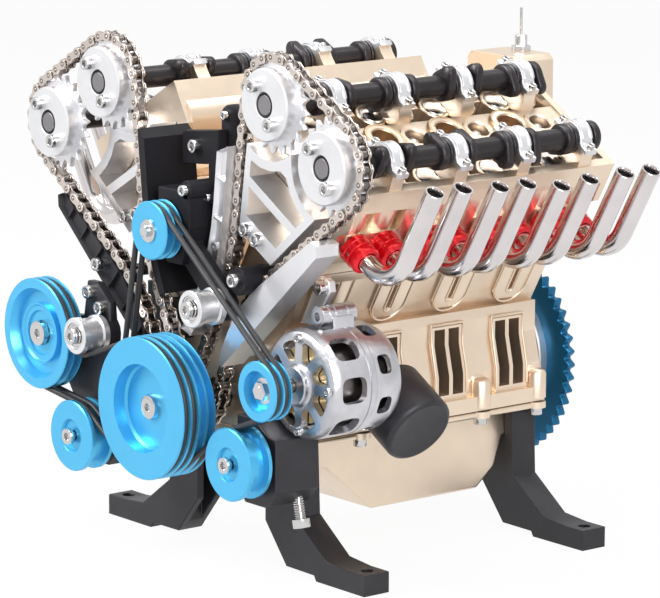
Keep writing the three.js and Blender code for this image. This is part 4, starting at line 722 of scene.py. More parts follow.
def makeDrum(name, middle):
    r, core, half = pulleyBook["drumRadius"], pulleyBook["drumCore"], pulleyBook["drumWidth"] / 2
    waist = pulleyBook["waist"]
    outer = [(r - 0.3, half), (r, half - 0.3), (r, waist + 0.2), (core, waist - 0.3)]
    inner = [(pulleyBore, half), (pulleyBore, 1 - half), (4.5, 1 - half), (4.5, -half)]
    bearing = [(radius, height - half) for radius, height in (
        (1.95, 1), (1.95, 0.3), (2.6, 0.3), (2.8, 0.6), (3.6, 0.6), (3.8, 0.3), (4.4, 0.3), (4.4, 1))]
    x, z = pulleyBook["drums"][name]
    skins = [turned(bothWays(outer) + inner, (x, middle, z), steps=72, loop=True),
             turned(bearing, (x, middle, z), paint=1, loop=True)]
    makePiece(f"drum_{name}_shell", skins, ["silver", "steel"], f"drum_{name}", True)


makePulleys()
for make in (makeSpool, makeDrum):
    for name, pair in pairs.items():
        make(name, sum(pair) / 2)
print("pulleys made")


# Belts: a round section carried along the route

beltBook = {"radius": 0.98, "seat": 1.3, "places": 320}


def makeBelt(name, route, y):
    line, length = routeRound(route)
    place = along(line, length, np.linspace(0, length[-1], beltBook["places"] + 1)[:-1])
    heading = np.roll(place, -1, 0) - np.roll(place, 1, 0)
    heading /= np.linalg.norm(heading, axis=1)[:, None]
    out = np.stack([heading[:, 1], -heading[:, 0]], -1)
    section = beltBook["radius"] * circleOf(12)[1]
    rings = ringAt(place[:, None] + out[:, None] * section[None, :, :1], y + section[:, 1])
    makePiece(name + "_cord", [skin(rings, 0, True)], ["rubber"], name, True)


def inGroove(key):
    book = pulleyBook[key]
    return *book["at"], book["radius"] - pulleyBook["deep"] + beltBook["seat"]


def onCore(kind, name):
    return *pulleyBook[kind + "s"][name], -pulleyBook[kind + "Core"] - beltBook["seat"]


routes = {
    "left": [inGroove("crank"), onCore("drum", "left"), inGroove("side"), onCore("spool", "left")],
    "right": [inGroove("crank"), onCore("spool", "right"), inGroove("alternator"), inGroove("pump")],
}
for i in (0, 1):
    for name, route in routes.items():
        makeBelt(f"{name}_belt_{i + 1}", route, pairs[name][i])
print("belts made")


# Exhausts: a red flange with two sockets, two bent pipes and two screws

exhaustBook = {
    "face": 23.2, "up": 79.3, "thickness": 2.4, "socketRim": 3.9, "socketLength": 8, "hump": 5.3,
    "lobes": [(1, 0, 5.4), (1, 3.2, 2.6), (0, 0, 3.0)], "screwAt": 3.4,
    "pipe": 3.3, "bore": 2.75, "bend": 12.5, "straight": 3.75, "top": 117.8,
    "rise": {"right": [(1.6, 1.8), (0.9, 0.8), (-1.6, -0.3), (0.2, 0)], "left": [(0, 0)] * 4},
}


def pipeRings(start, y, top):
    # a circle carried out along the port, round a quarter bend and up to the mouth
    up, bend, pipe, bore = (exhaustBook[key] for key in ("up", "bend", "pipe", "bore"))
    corner = start + exhaustBook["straight"]
    a = np.linspace(0, np.pi / 2, 14)
    arc = np.stack([corner + bend * np.sin(a), up + bend * (1 - np.cos(a)), a], -1)
    end = np.array([corner + bend, top, np.pi / 2])
    t = circleOf(28)[0]

    def tube(line, radius):
        # a line of (x, z, heading)
        x, z, heading = np.array(line).T[..., None]
        side = np.broadcast_to(y + radius * np.sin(t), (len(line), len(t)))
        return np.stack([x - np.sin(heading) * radius * np.cos(t), side,
                         z + np.cos(heading) * radius * np.cos(t)], -1)

    outside = tube([(start - 5, up, 0), *arc, end - [0, 0.15, 0]], pipe)
    mouth = [tube([end - [0, deep, 0]], radius) for deep, radius in (
        (0, pipe - 0.15), (0, bore + 0.05), (0.1, bore), (3, bore), (6, bore), (9, bore))]
    return np.concatenate([outside, *mouth])


def flangeRings(y):
    # the outline is the farthest of five circles' skins in each direction from its middle
    face, up, thickness = (exhaustBook[key] for key in ("face", "up", "thickness"))
    t, circle = circleOf(160)
    reach = np.zeros(len(t))
    for share, further, radius in exhaustBook["lobes"]:
        for centre in (share * spread + further, -share * spread - further):
            inside = radius ** 2 - (centre * np.sin(t)) ** 2
            far = centre * np.cos(t) + np.sqrt(np.clip(inside, 0, None))
            reach = np.maximum(reach, np.where(inside > 0, far, 0))
    rings = []
    for deep, step in ((0, 0.25), (0.25, 0), (thickness - 0.3, 0), (thickness, 0.3)):
        flat = circle * (reach * (1 - step / np.maximum(reach, 1)))[:, None]
        rings.append(np.stack([np.full(len(t), face + deep), y + flat[:, 0], up + flat[:, 1]], -1))
    return rings


def makeExhaust(i, name, side):
    face, up, thickness, hump, pipe, bore = (
        exhaustBook[key] for key in ("face", "up", "thickness", "hump", "pipe", "bore"))
    y, length, valves = cylinders[i], exhaustBook["socketLength"], (-spread, spread)
    node = f"exhaust_{i + 1}_{name}"
    socket = [(hump, thickness - 0.3), (hump, 4.3), (hump - 0.2, 4.5), (hump - 0.5, 4.55),
              (hump - 0.5, 4.9), (hump - 0.2, 5.0), (hump - 0.2, length - 0.8),
              (hump - 0.4, length - 0.4), (exhaustBook["socketRim"], length), (pipe + 0.25, length),
              (pipe + 0.1, length - 1.5), (pipe + 0.1, thickness - 0.3)]
    skins = [skin(flangeRings(y))]
    skins += [turned(socket, (face, y + valve, up), outwards, 40, loop=True) for valve in valves]
    makePiece(node + "_flange", leaned(skins, side), ["red"], node, True, sharp=30)
    # painted shade: a near black sleeve inside each pipe, from 2.4 to 8.9 mm below the mouth, darkens
    # the bore
    boreShade = [(bore + 0.02, -8.9), (bore - 0.02, -2.4), (bore - 0.12, -2.3), (bore - 0.15, -8)]
    pipes, boreShades = [], []
    for valve, rise in zip(valves, exhaustBook["rise"][name][i]):
        # a higher mouth is as much further in, so that all end under the same outer line
        start = face + length - max(rise, 0) * math.tan(tilt)
        top = exhaustBook["top"] + rise
        mouth = (start + exhaustBook["straight"] + exhaustBook["bend"], y + valve, top)
        pipes.append(skin(pipeRings(start, y + valve, top)))
        boreShades.append(turned(boreShade, mouth, upwards, 28, 1))
    makePiece(node + "_pipes", leaned(pipes + boreShades, side), ["pipe", "hollowShade"], node, sharp=30)
    heads = [screw((face + thickness, y + s * (spread + exhaustBook["screwAt"]), up - s * 0.4), outwards,
                   "small", 1.5) for s in (-1, 1)]
    makePiece(node + "_screws", leaned(heads, side), ["steel"], node)


for i in range(4):
    for name, side in sides.items():
        makeExhaust(i, name, side)
print("exhausts made")


# Crankshaft with its sprockets and flywheel

crankBook = {
    "throw": 5.5, "angles": [0, 90, 270, 180], "pin": 3.0, "journal": 3.98, "nose": -7.6,
    "web": 10.35, "webThickness": 2.4, "pinHalf": 3.2, "pinReach": 4.5,
}
flywheelBook = {
    "teeth": 48, "radius": 36.85, "toothDepth": 2.5, "front": 135.9, "thickness": 3.2,
    "share": [0, 0.1, 0.42, 0.58, 0.9], "depth": [0, 0.1, 0.92, 0.92, 0.1],
    "disc": 25.4, "discFront": 132.7, "discRear": 138.6,
}


def makeCrank():
    # the journals stop inside the webs, so that the rods have room round the throws
    half, thick, throw = crankBook["pinHalf"], crankBook["webThickness"], crankBook["throw"]
    stops = [crankBook["nose"], *(y + s * (half + thick / 2) for y in cylinders for s in (-1, 1)),
             flywheelBook["discFront"] + 1]
    skins = [shaft(crankBook["journal"], (0, y0, 0), (0, y1, 0), edge=0.2)
             for y0, y1 in zip(stops[::2], stops[1::2])]
    skins.append(toothed(wheels[0], chainBook["crankTeeth"], rightPlane))
    skins += mirrored([toothed(wheels[0], chainBook["crankTeeth"], leftPlane)], -1)
    outline = np.concatenate([arcOf(crankBook["web"], -0.92 * np.pi, -0.08 * np.pi, 24),
                              arcOf(4.9, 0.1 * np.pi, 0.9 * np.pi, 12) + [0, throw]])
    for y, degrees in zip(cylinders, crankBook["angles"]):
        c, s = math.cos(math.radians(degrees)), math.sin(math.radians(degrees))
        skins.append(shaft(crankBook["pin"], (throw * s, y - crankBook["pinReach"], throw * c),
                           (throw * s, y + crankBook["pinReach"], throw * c)))
        for low in (y - half - thick, y + half):
            skins.append(slab(outline @ np.array([[c, -s], [s, c]]), low + 0.02, low + thick - 0.02))
    # the rollers seated in the crank sprockets are painted dark, as painted shade between the plates
    onIt = pins[isOn(wheels[0])]
    seated = [rollers(onIt, rightPlane), *mirrored([rollers(onIt, leftPlane)], -1)]
    makePiece("crankshaft_rollers", seated, ["chainDark"], "crankshaft")
    makePiece("crankshaft_body", skins, ["blackGround"], "crankshaft", True)


def makeFlywheel():
    front, face = flywheelBook["front"], flywheelBook["discFront"]
    circle, deep = teethRound(flywheelBook["teeth"], flywheelBook["share"], flywheelBook["depth"])
    rim = circle * (flywheelBook["radius"] - deep * flywheelBook["toothDepth"])
    ring = plate(rim * 0.994, rim, front, front + flywheelBook["thickness"], 0.3)
    makePiece("flywheel_ring", [ring], ["deepBlue"], "crankshaft")
    disc = flywheelBook["disc"]
    makeRound("flywheel_disc", [(4.5, face + 1.2), (6.2, face + 1.2), (6.6, face), (disc - 0.5, face),
                                (disc, face + 0.5), (disc, flywheelBook["discRear"])],
              (0, 0), "crankshaft", "silver", 96)


makeCrank()
makeFlywheel()
for i in range(4):
    dressed(f"rod_pair_{i + 1}", ["blackGround"], 0.15)
    for name in sides:
        dressed(f"piston_{i + 1}_{name}", ["steel"], 0.15)
print("crank train made")


# Head fittings: caps over the cams, tappets, plugs and the rings between them

headBook = {
    "strapHalf": 2.66, "reach": 9.1, "flat": 1.4, "low": -0.5, "arch": 5.9, "bore": 4.3,
    "ribs": (1.2, 2.3), "screwAt": 7.7, "tappet": 4.5, "tappetTop": 99.8, "ridge": 102.6,
    "well": 3.7, "wellFloor": 92.96, "tower": 7.5, "towerBore": 4.5, "towerTop": 104.0,
    "towerAhead": 13.6, "floor": 83.98, "wall": [(-25.9, 95.8), (-29.0, 89.5), (-22.4, 83.9)],
}


def strapOutline():
    # flat ears on both sides of an arch over the cam, and the cam's half bore below
    reach, flat, low, bore = (headBook[key] for key in ("reach", "flat", "low", "bore"))
    ear = [(reach, low), (reach, flat), (6.4, flat), (5.5, 2.3)]
    top = arcOf(headBook["arch"], math.radians(24), math.radians(156), 18)
    under = arcOf(bore, math.pi, 0, 14)
    return np.array([*ear, *top, *((-x, z) for x, z in ear[::-1]), (-bore, low), *under, (bore, low)])


def curvedWall():
    # the wall of the intake side, from the rail down to the floor, as a quadratic curve
    t = np.linspace(0, 1, 12)[:, None]
    a, b, c = np.array(headBook["wall"])
    curve = (1 - t) ** 2 * a + 2 * t * (1 - t) * b + t ** 2 * c
    outline = np.concatenate([curve, curve[::-1] + [1.6, 0]])
    return slab(outline, layout["blockFront"] + 2.0, layout["blockRear"] - 2.0, 0.2)


def makeHeadFittings(name, side):
    h = headBook
    straps, heads, discs, plugs, rings = [], [], [], [], []
    strap, half = strapOutline(), h["strapHalf"]
    rib = np.concatenate([arcOf(h["arch"] + 0.5, 0.6, np.pi - 0.6, 18),
                          arcOf(h["arch"] - 0.5, np.pi - 0.6, 0.6, 18)])
    low, high = h["ribs"]
    well, rim = h["well"], h["ridge"] - h["wellFloor"]
    for y in cylinders:
        for at in (-layout["camSpread"], layout["camSpread"]):
            straps.append(slab(strap + [at, camHeight], y - half, y + half, 0.35))
            for a, b in ((low, high), (-high, -low)):
                straps.append(slab(rib + [at, camHeight], y + a, y + b, 0.2))
            for s in (-1, 1):
                heads.append(screw((at + s * h["screwAt"], y, camHeight + h["flat"]), upwards, "tiny"))
                centre = (at, y + s * spread, h["tappetTop"])
                discs.append(turned([(h["tappet"], -2), (h["tappet"], 0.1), (h["tappet"] - 0.4, 0.45),
                                     (2.6, 0.6), (0.4, 0.65)], centre, upwards, 32))
                rings.append(turned([(5.5, h["floor"] - h["tappetTop"] - 1), (5.5, -0.2), (5.25, 0.1),
                                     (4.75, 0.1), (4.6, -0.2), (4.6, -3)], centre, upwards, 32))
        foot = (0, y, h["wellFloor"])
        plugs.append(turned([(3.0, 0), (3.0, 2.5, 6), (1.6, 2.6), (1.6, 4), (2.3, 4.8), (2.6, 6.0),
                             (2.3, 7.2), (1.4, 8.2), (0.3, 8.6)], foot, upwards, 24))
        rings.append(turned([(well, 0.2), (well, rim), (well + 0.4, rim + 0.45), (5.4, rim + 0.45),
                             (5.8, rim), (5.8, 0.2)], foot, upwards, 40, loop=True))
    tower, bore = h["tower"], h["towerBore"]
    for y in cylinders[1:]:
        rings.append(turned([(tower, h["floor"] - h["towerTop"] - 1), (tower, -0.4), (tower - 0.4, 0.15),
                             (6.4, 0.15), (6.1, -0.6), (5.4, -0.6), (5.1, 0.0), (bore + 0.3, 0.0),
                             (bore, -0.4), (bore, -10.9)],
                            (0, y - h["towerAhead"], h["towerTop"]), upwards, 40, 1))
    for part, skins, finishes in (
            ("straps", straps, ["silver"]), ("walls", [curvedWall()], ["gold"]),
            ("cap_screws", heads, ["steel"]), ("tappets", discs, ["steel"]), ("plugs", plugs, ["steel"]),
            ("rings", rings, ["gold", "goldRough"])):
        node = f"cylinder_head_{name}"
        makePiece(f"head_{part}_{name}", leaned(skins, side), finishes, node, sharp=35)


for name, side in sides.items():
    makeHeadFittings(name, side)
print("head fittings made")


# Castings and brackets: the CAD shapes with rounded edges, and their screws

blockBook = {
    "panelAt": 15.9, "panelHalf": 7.0, "panelTop": 59.5, "panelCentre": 46.0,
    "slotHalf": 1.6, "slotLow": 44.6, "slotTop": 58.4,
    "skirt": [(37.45, -2.6), (37.45, 3.8), (34.95, 14.3), (34.95, 21.4)], "skirtHalf": 6.9,
    "bossAt": (18.6, 41.5, 67.9, 94.6, 120.0), "boss": (37.6, 3.5, 1.6), "panScrewUp": -12.2,
    "wedge": [(33.5, -9.0), (37.6, -9.0), (37.6, 0.4), (36.6, 2.6), (33.5, 4.6)],
}


def makeBlockTrim(name, side):
    # raised rims round the slots: a bead down one side, round the foot and up the other
    b = blockBook
    upper, lower, heads = [], [], []

    def panelBead(outline, y, radius, loop=False):
        path = np.stack([np.full(len(outline), b["panelAt"]), y + outline[:, 0], outline[:, 1]], -1)
        upper.append(bead(path, radius, loop=loop))

    foot = arcOf(b["panelHalf"], 0, -np.pi, 15) + [0, b["panelCentre"]]
    panel = np.concatenate([[[b["panelHalf"], b["panelTop"]]], foot, [[-b["panelHalf"], b["panelTop"]]]])
    end = arcOf(b["slotHalf"], 0, -np.pi, 15)
    slot = np.concatenate([end + [0, b["slotLow"]], [0, b["slotTop"]] - end])
    for y in cylinders:
        panelBead(panel, y, 0.5)
        panelBead(slot, y, 0.35, loop=True)
        edge = [(x, y - b["skirtHalf"], z) for x, z in b["skirt"]]
        lower.append(bead(edge + [(x, y + b["skirtHalf"], z) for x, z in b["skirt"][::-1]], 0.55))
    x, radius, top = b["boss"]
    for y in b["bossAt"]:
        lower += [turned([(radius, -8.5), (radius, top - 1.5), (radius * 0.85, top - 0.5),
                          (radius * 0.5, top), (0.2, top)], (x, y, 0), upwards, 32),
                  turned([(radius, -12.1), (radius, -9.9)], (x, y, 0), upwards, 32),
                  slab(b["wedge"], y - radius, y + radius, 0.7)]
        heads.append(screw((x, y, b["panScrewUp"]), (0, 0, -1)))
    makePiece(f"bank_rims_{name}", leaned(upper, side, 0), ["gold"], "engine_block", sharp=60)
    makePiece(f"skirt_rims_{name}", mirrored(lower, side), ["gold"], "engine_block", sharp=60)
    makePiece(f"pan_screws_{name}", mirrored(heads, side), ["steel"], "engine_block")


spindleBook = {  # x, z, the head's rear face, the place of the arm, and the head's kind
    "water_pump_housing": [(21.3, 36.1, -17.275, -5.5, "spindle")],
    "bracket_right": [(40.4, -12.3, -16.575, -6.2, "spindle")],
    "bracket_left": [(-38, -15.9, -23.075, -12.7, "spindle"), (-34.5, 19.1, -23.775, -12.0, "spindle"),
                     (-60, 15.7, -18.5, -13.8, "hex")],
}


def headCuts(node):
    return [(x, z, 3.3, rear - 1.9, rear + 0.1) for x, z, rear in (row[:3] for row in spindleBook[node])]


dressed("engine_block", ["gold"], 0.6)
dressed("oil_pan", ["gold"], 1.6)
dressed("rear_housing", ["gold", "steel"], 0.7, spots=[(1, (-6, 139, 106.02), (6, 155, 120))])
for name, side in sides.items():
    makeBlockTrim(name, side)
    dressed(f"cylinder_head_{name}", ["gold"], 0.4)
    dressed(f"timing_frame_{name}", ["silver"], 0.4)
    dressed(f"bracket_{name}", ["blackPaint"], 0.5, cuts=headCuts(f"bracket_{name}"))
    for end in ("front", "rear"):
        dressed(f"{end}_leg_{name}", ["blackPaint"], 0.6)
dressed("outer_guide_right", ["silver"], 0.5)

ribBook = {"thickness": 0.7, "rise": 1.5}
hollow = {  # a pocket's rim and depth, and places of ribs and rings as shares of the length
    "inner_guide_right": {"finish": "silver", "pocket": (0.8, 1.8), "ribs": (0.16, 0.36, 0.64, 0.84),
                          "rings": (0.5,)},
    "outer_guide_left": {"finish": "blackPaint", "pocket": (0.9, 2.0),
                         "ribs": (0.12, 0.28, 0.43, 0.6, 0.75, 0.89), "rings": ()},
}


def makeRibs(node, finish, pocket, ribs, rings):
    # Each rib crosses the pocket's floor from edge to edge, square to the guide's length.
    rise = ribBook["rise"]
    thing = dressed(node, [finish], 0.3, pocket=pocket)
    floor = max((p for p in thing.data.polygons if p.normal.y < -0.99), key=lambda p: p.area)
    place = np.array([thing.data.vertices[i].co for i in floor.vertices]) * 1000 - shift
    y = place[0, 1]
    flat = place[:, [0, 2]]
    middle = flat.mean(0)
    length, across = np.linalg.svd(flat - middle)[2]
    length = length * np.sign(length[1])
    s, w = (flat - middle) @ length, (flat - middle) @ across
    skins = []
    for share in sorted(ribs + rings):
        at = s.min() + share * (s.max() - s.min())
        hits = [w[i] + (at - s[i]) / (s[j] - s[i]) * (w[j] - w[i])
                for i, j in enumerate(np.roll(np.arange(len(s)), -1)) if (s[i] - at) * (s[j] - at) < 0]
        low, high = min(hits), max(hits)
        centre = middle + at * length
        if share in rings:
            x, z = centre + (low + high) / 2 * across
            ring = [(0.8, 0), (0.8, rise), (1.5, rise), (1.5, 0)]
            skins.append(turned(ring, (x, y, z), ahead, 24, loop=True))
            continue
        half = length * ribBook["thickness"] / 2
        corners = [centre + a * half + b * across
                   for a, b in ((-1, low), (1, low), (1, high), (-1, high))]
        skins.append(slab(corners, y - rise, y + 0.1, 0.12))
    makePiece(node + "_ribs", skins, [finish], node)


for node, row in hollow.items():
    makeRibs(node, **row)
dressed("inner_guide_left", ["blackMatte"], 0.5)
dressed("water_pump_housing", ["blackMatte"], 2.0, cuts=headCuts("water_pump_housing"))
dressed("switch_lever", ["steel"], 0.15)
for node, rows in spindleBook.items():
    heads = [screw((x, rear, z), ahead, kind, arm - rear) for x, z, rear, arm, kind in rows]
    makePiece(node + "_screws", heads, ["steel"], node)
print("castings dressed")


# Oil filter: a smooth canister that leans outwards on its pipe

filterBook = {"y": 45, "radius": 12.5, "near": 46.8, "height": 4.6, "lean": 30, "length": 20.28,
              "neck": 5.4, "root": 37.9, "neckInside": 6}


def makeFilter(y, radius, near, height, lean, length, neck, root, neckInside):
    r, end, lean = radius, length, math.radians(lean)
    can = turned([(3, 0.6), (r - 1.2, 0), (r - 0.3, 0.3), (r, 1.0), (r, end - 1.7),
                  (r - 0.25, end - 0.9), (r - 0.8, end - 0.3), (r - 1.6, end), (r - 2.2, end - 0.15),
                  (0.5, end - 0.2)],
                 (near, y, height), (math.cos(lean), 0, -math.sin(lean)), 96)
    tube = turned([(neck, 0), (neck, near + neckInside - root)], (root, y, height), outwards, 40)
    makePiece("oil_filter_canister", [can, tube], ["blackPaint"], "oil_filter", True, sharp=30)


makeFilter(**filterBook)


# Alternator housing: two turned shells with windows cut through them

alternatorBook = {
    "windows": 8, "screwAt": 15.4, "screwUp": 2.4,
    "shell": [(2.2, -0.6), (6.0, -0.6), (6.4, -0.2), (6.5, 1.0), (7.2, 1.7), (15.6, 2.2), (17.3, 3.0),
              (18.2, 4.6), (18.4, 6.5), (18.4, 17.1), (18.05, 17.2), (18.05, 17.6), (18.4, 17.7),
              (18.4, 19.6), (18.0, 20.2), (17.9, 28.4), (16.2, 31.6), (13.6, 32.9), (0.6, 33.0),
              (0.6, 30.9), (13.2, 30.8), (15.7, 28.4), (15.9, 5.4), (14.4, 4.3), (2.2, 4.3)],
    "face": (11.4, 3.3, 13.5), "side": (10.6, 5.0, 4.3), "rear": (24.3, 2.6, 3.2),
    "lug": [(-4.6, 16.5), (4.6, 16.5), (4.2, 21.5), (-4.2, 21.5)], "lugScrewUp": 21.4,
    "lugScrew": [(1.5, 11.6), (1.5, 9.6), (2.6, 9.6), (3.4, 9.8), (3.5, 10.4), (3.5, 12.2), (3.1, 12.5),
                 (3.5, 12.8), (3.5, 14.6), (3.1, 14.9), (3.5, 15.2), (3.5, 19.6), (3.1, 19.9),
                 (3.5, 20.2), (3.5, 23.4), (3.1, 23.9), (0.5, 23.9)],
}


def rounded(first, second):
    # a rounded oblong: each reach times cos or sin to a power below one
    shape = circleOf(28)[1]
    shape = np.sign(shape) * np.abs(shape) ** 0.55
    return first * shape[:, 0], second * shape[:, 1]


def cutBy(body, cutters):
    # the mesh of a body less its cutters
    made = []
    for skins in (body, cutters):
        points, faces = gathered(skins)[:2]
        mesh = bpy.data.meshes.new("cutting")
        mesh.from_pydata(points.tolist(), [], faces)
        turnOut(mesh)
        made.append(linked("cutting", mesh))
    cut = made[0].modifiers.new("cut", "BOOLEAN")
    cut.object = made[1]
    cut.solver = "EXACT"
    bpy.context.view_layer.update()
    settled = made[0].evaluated_get(bpy.context.evaluated_depsgraph_get())
    result = bpy.data.meshes.new_from_object(settled)
    place = np.zeros(len(result.vertices) * 3)
    result.vertices.foreach_get("co", place)
    faces = [list(p.vertices) for p in result.polygons]
    for thing in made:
        bpy.data.objects.remove(thing)
    bpy.data.meshes.remove(result)
    return place.reshape(-1, 3), faces, 0


def windowCutters(x, z):
    # eight windows in the front face, and two rows of eight in the round wall
    cutters = []
    pitch = 2 * np.pi / alternatorBook["windows"]
    for k in range(alternatorBook["windows"]):
        middle, deep, wide = alternatorBook["face"]
        out, turn = rounded(deep, math.radians(wide))
        turn = turn * (1 + 0.25 * out / deep) + (k + 0.5) * pitch
        outline = np.stack([x + (middle + out) * np.cos(turn), z + (middle + out) * np.sin(turn)], -1)
        cutters.append(slab(outline, -1.5, 6, 0.01))
        for key, offset in (("side", 0), ("rear", 0.5)):
            middle, deep, wide = alternatorBook[key]
            out, across = rounded(deep, wide)
            c, s = math.cos((k + offset) * pitch), math.sin((k + offset) * pitch)
            cutters.append(skin([np.stack([x + reach * c - across * s, middle + out,
                                           z + reach * s + across * c], -1) for reach in (14.0, 20.0)]))
    return cutters


def makeAlternator():
    a = alternatorBook
    x, z = pulleyBook["alternator"]["at"]
    shell = turned(a["shell"], (x, 0, z), steps=96, loop=True)
    lug = slab(np.array(a["lug"]) + [x, z], 13.0, 21.6, 0.4)
    boss = turned(a["lugScrew"], (x, 0, z + a["lugScrewUp"]), steps=36)
    makePiece("alternator_shell", [cutBy([shell], windowCutters(x, z)), lug, boss], ["cast"],
              "alternator_housing", True, sharp=30, bevel=0.25)
    coil = turned([(8.4, 4.6), (12.6, 4.6), (12.9, 5.9), (8.2, 5.9)], (x, 0, z), loop=True)
    makePiece("alternator_coil", [coil], ["brass"], "alternator_housing")
    far = a["screwAt"]
    heads = [screw((x + far * math.cos(t), a["screwUp"], z + far * math.sin(t)), ahead, "tiny", 0.5)
             for t in np.arange(4) * math.pi / 2]
    makePiece("alternator_screws", heads, ["steel"], "alternator_housing")


makeAlternator()
print("alternator made")


# Small fittings placed on what carries them

frameScrews = {"right": [(-6.1, 66.3), (0.2, 66.9)], "left": [(8.0, 69.0), (1.6, 67.0)]}
fittingBook = {
    "lugs": [(6.8, 72.4, 3.2, -7.6, 5.0), (9.2, 69.6, 2.1, 0.0, 8.0), (29.7, 45.0, 4.6, -4.0, 13.2),
             (35.8, 43.6, 2.1, 3.8, 13.2)],
    "plate": [(-10.4, 78.0), (3.8, 79.6), (3.8, 71.0), (8.4, 71.0), (9.2, 91.6), (-10.4, 89.2)],
    "canister": (7.5, 13.0, 5.0, 71.5, 27.5),
    "pumpScrews": [((6.8, -7.6, 72.4), "small"), ((9.2, 0.0, 69.6), "tiny"), ((29.3, -4.0, 45.5), "cap"),
                   ((35.8, 3.8, 43.6), "small"), ((-2.5, 4.0, 85.0), "cap"), ((7.9, 8.1, 96.0), "tiny")],
    "arm": [(36.2, 30.0), (43.4, 30.0), (51.6, 42.3), (50.9, 45.7), (47.6, 47.0), (44.4, 45.2)],
    "leftLug": [(-46.0, 22), (-30.5, 20), (-31.2, 29.5), (-38.0, 35.4), (-43.6, 35.4)],
    "leftScrews": ((-41.3, 31.9), (-34.9, 27.4)),
    "leftBack": [(-37.5, -2.0), (-24.0, -2.0), (-24.0, 30.0), (-30.0, 34.0), (-37.5, 34.0)],
    "longScrew": ((46.1, 8, -24), (48.8, 8, -35.4)), "longRadius": 1.8, "threadPitch": 0.8,
}


def screwsOn(name, node, rows, shank=0.5):
    makePiece(name, [screw(at, ahead, kind, shank) for at, kind in rows], ["steel"], node)


def makeFittings():
    g = fittingBook
    for name, side in sides.items():
        heads = [screw((x, 2.7, up), ahead, "cap", 0.4) for x, up in frameScrews[name]]
        makePiece(f"frame_screws_{name}", leaned(heads, side), ["steel"], f"timing_frame_{name}")
    skins = [shaft(radius, (x, y0, z), (x, y1, z), 40, 0.3) for x, z, radius, y0, y1 in g["lugs"]]
    x, y, r, low, tall = g["canister"]
    skins.append(turned([(r, 0), (r, tall - 2.4), (r - 0.5, tall - 1.2), (r - 1.5, tall - 0.3),
                         (r - 3, tall), (0.2, tall)], (x, y, low), upwards))
    skins.append(slab(g["plate"], 4.0, 8.0, 0.4))
    makePiece("pump_lugs", skins, ["blackMatte"], "water_pump_housing")
    screwsOn("pump_screws", "water_pump_housing", g["pumpScrews"])
    makePiece("alternator_arm", [slab(g["arm"], 17.0, 20.0, 0.5)], ["silver"], "alternator_housing")
    makePiece("left_lug", [slab(g["leftLug"], -11.5, -8.2, 0.4)], ["blackPaint"], "bracket_left")
    makePiece("left_back", [slab(g["leftBack"], 9.0, 13.2, 0.6)], ["blackPaint"], "bracket_left")
    screwsOn("arm_screws", "bracket_left", [((x, -11.5, z), "cap") for x, z in g["leftScrews"]])
    screwsOn("arm_screw_right", "alternator_housing", [((48.0, 17.0, 43.3), "cap")])


def makeThreadedScrew():
    # the thread's crests are flat for a fifth of the pitch
    radius, pitch = fittingBook["longRadius"], fittingBook["threadPitch"]
    start, end = np.array(fittingBook["longScrew"], float)
    length = np.linalg.norm(end - start)
    axis = (end - start) / length
    rows = [(radius - depth, (turn + share) * pitch)
            for turn in range(int(length / pitch)) for share, depth in ((0, 0.3), (0.4, 0), (0.6, 0))]
    head = screw(end - axis * screwKinds["big"][1], axis, "big")
    makePiece("bracket_screw_right", [turned(rows, start, axis, 32), head], ["steel"], "bracket_right")


makeFittings()
makeThreadedScrew()
screwsOn("guide_screw_left", "outer_guide_left", [((-41.4, leftPlane - 2.9, 41.0), "cap")], 3)
print("fittings made")


# Floor, light and camera

def shownTo(tree, kind, rays, share, hidden, shown):
    # what the named rays see is shown, mixed in by a share; all others meet the hidden shader
    seen = nodeOf(tree, "LightPath").outputs
    total = seen[rays[0]]
    for ray in rays[1:]:
        either = nodeOf(tree, "Math", "MAXIMUM")
        tree.links.new(total, either.inputs[0])
        tree.links.new(seen[ray], either.inputs[1])
        total = either.outputs[0]
    part = nodeOf(tree, "Math", "MULTIPLY")
    part.inputs[1].default_value = share
    mixed = nodeOf(tree, "MixShader")
    tree.links.new(total, part.inputs[0])
    tree.links.new(part.outputs[0], mixed.inputs["Fac"])
    tree.links.new(hidden.outputs[0], mixed.inputs[1])
    tree.links.new(shown.outputs[0], mixed.inputs[2])
    tree.links.new(mixed.outputs[0], nodeOf(tree, "Output" + kind).inputs["Surface"])


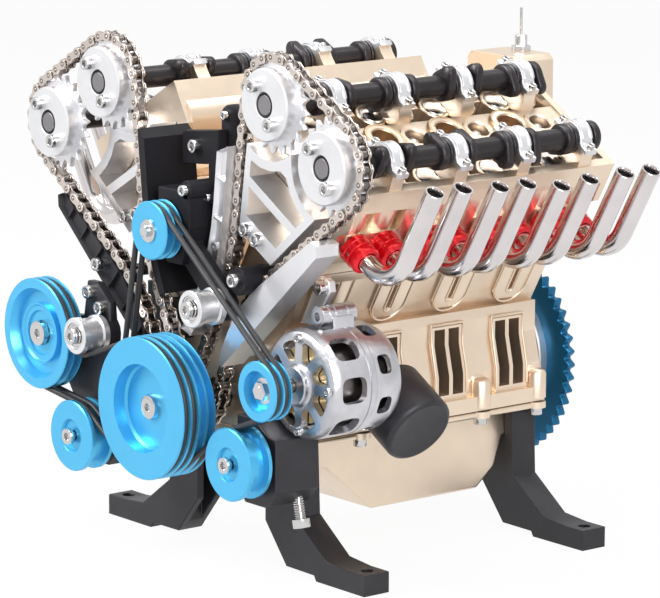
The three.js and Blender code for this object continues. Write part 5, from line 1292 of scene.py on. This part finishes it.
def makeStage():
    mesh = bpy.data.meshes.new("floor")
    reach = 6.0
    corners = [(-reach, -reach, 0), (reach, -reach, 0), (reach, reach, 0), (-reach, reach, 0)]
    mesh.from_pydata(corners, [], [(0, 1, 2, 3)])
    floor = linked("floor", mesh)
    material = bpy.data.materials.new("paleFloor")
    material.use_nodes = True
    tree = material.node_tree
    tree.nodes.clear()
    shownTo(tree, "Material", ("Is Camera Ray", "Is Glossy Ray"), 0.95,
            nodeOf(tree, "BsdfDiffuse", Color=(0.82, 0.82, 0.83, 1)),
            nodeOf(tree, "Emission", Color=(1, 1, 1, 1)))
    mesh.materials.append(material)

    world = bpy.data.worlds.new("studio")
    bpy.context.scene.world = world
    world.use_nodes = True
    tree = world.node_tree
    tree.nodes.clear()
    shownTo(tree, "World", ("Is Camera Ray", "Is Glossy Ray", "Is Transmission Ray"), 1,
            nodeOf(tree, "Background", Strength=0.32), nodeOf(tree, "Background", Strength=1.04))


makeStage()

lamps = {  # place in metres, size, power in watts
    "key": ((-0.45, -0.85, 0.75), 0.5, 15), "fill": ((0.9, -0.35, 0.5), 0.6, 9),
    "top": ((0.1, 0.15, 1.0), 0.8, 7),
}
for name, (place, size, power) in lamps.items():
    lamp = bpy.data.lights.new(name, "AREA")
    lamp.size = size
    lamp.energy = power
    holder = linked(name, lamp)
    holder.location = place
    holder.rotation_euler = (Vector((0, 0, 0.08)) - Vector(place)).to_track_quat("-Z", "Y").to_euler()

cameraBook = {"azimuth": 51.015, "elevation": 10.966, "roll": -0.231, "lens": 213.22,
              "across": 45.751, "up": 33.848, "back": 1302.68}
a, e, roll = (math.radians(cameraBook[key]) for key in ("azimuth", "elevation", "roll"))
right = np.array([math.cos(a), math.sin(a), 0])
up = np.array([-math.sin(a) * math.sin(e), math.cos(a) * math.sin(e), math.cos(e)])
back = np.array([math.sin(a) * math.cos(e), -math.cos(a) * math.cos(e), math.sin(e)])
stand = right * cameraBook["across"] + up * cameraBook["up"] + back * cameraBook["back"]
lens = bpy.data.cameras.new("camera")
lens.lens = cameraBook["lens"]
lens.sensor_width = 36
lens.clip_start = 0.1
lens.clip_end = 20
camera = linked("camera", lens)
turn = np.eye(4)
turn[:3, 0] = right * math.cos(roll) - up * math.sin(roll)
turn[:3, 1] = right * math.sin(roll) + up * math.cos(roll)
turn[:3, 2] = back
turn[:3, 3] = (stand + shift) * 0.001
camera.matrix_world = Matrix(turn.tolist())
bpy.context.scene.camera = camera
bpy.context.scene.view_settings.view_transform = "Standard"
print("stage made")
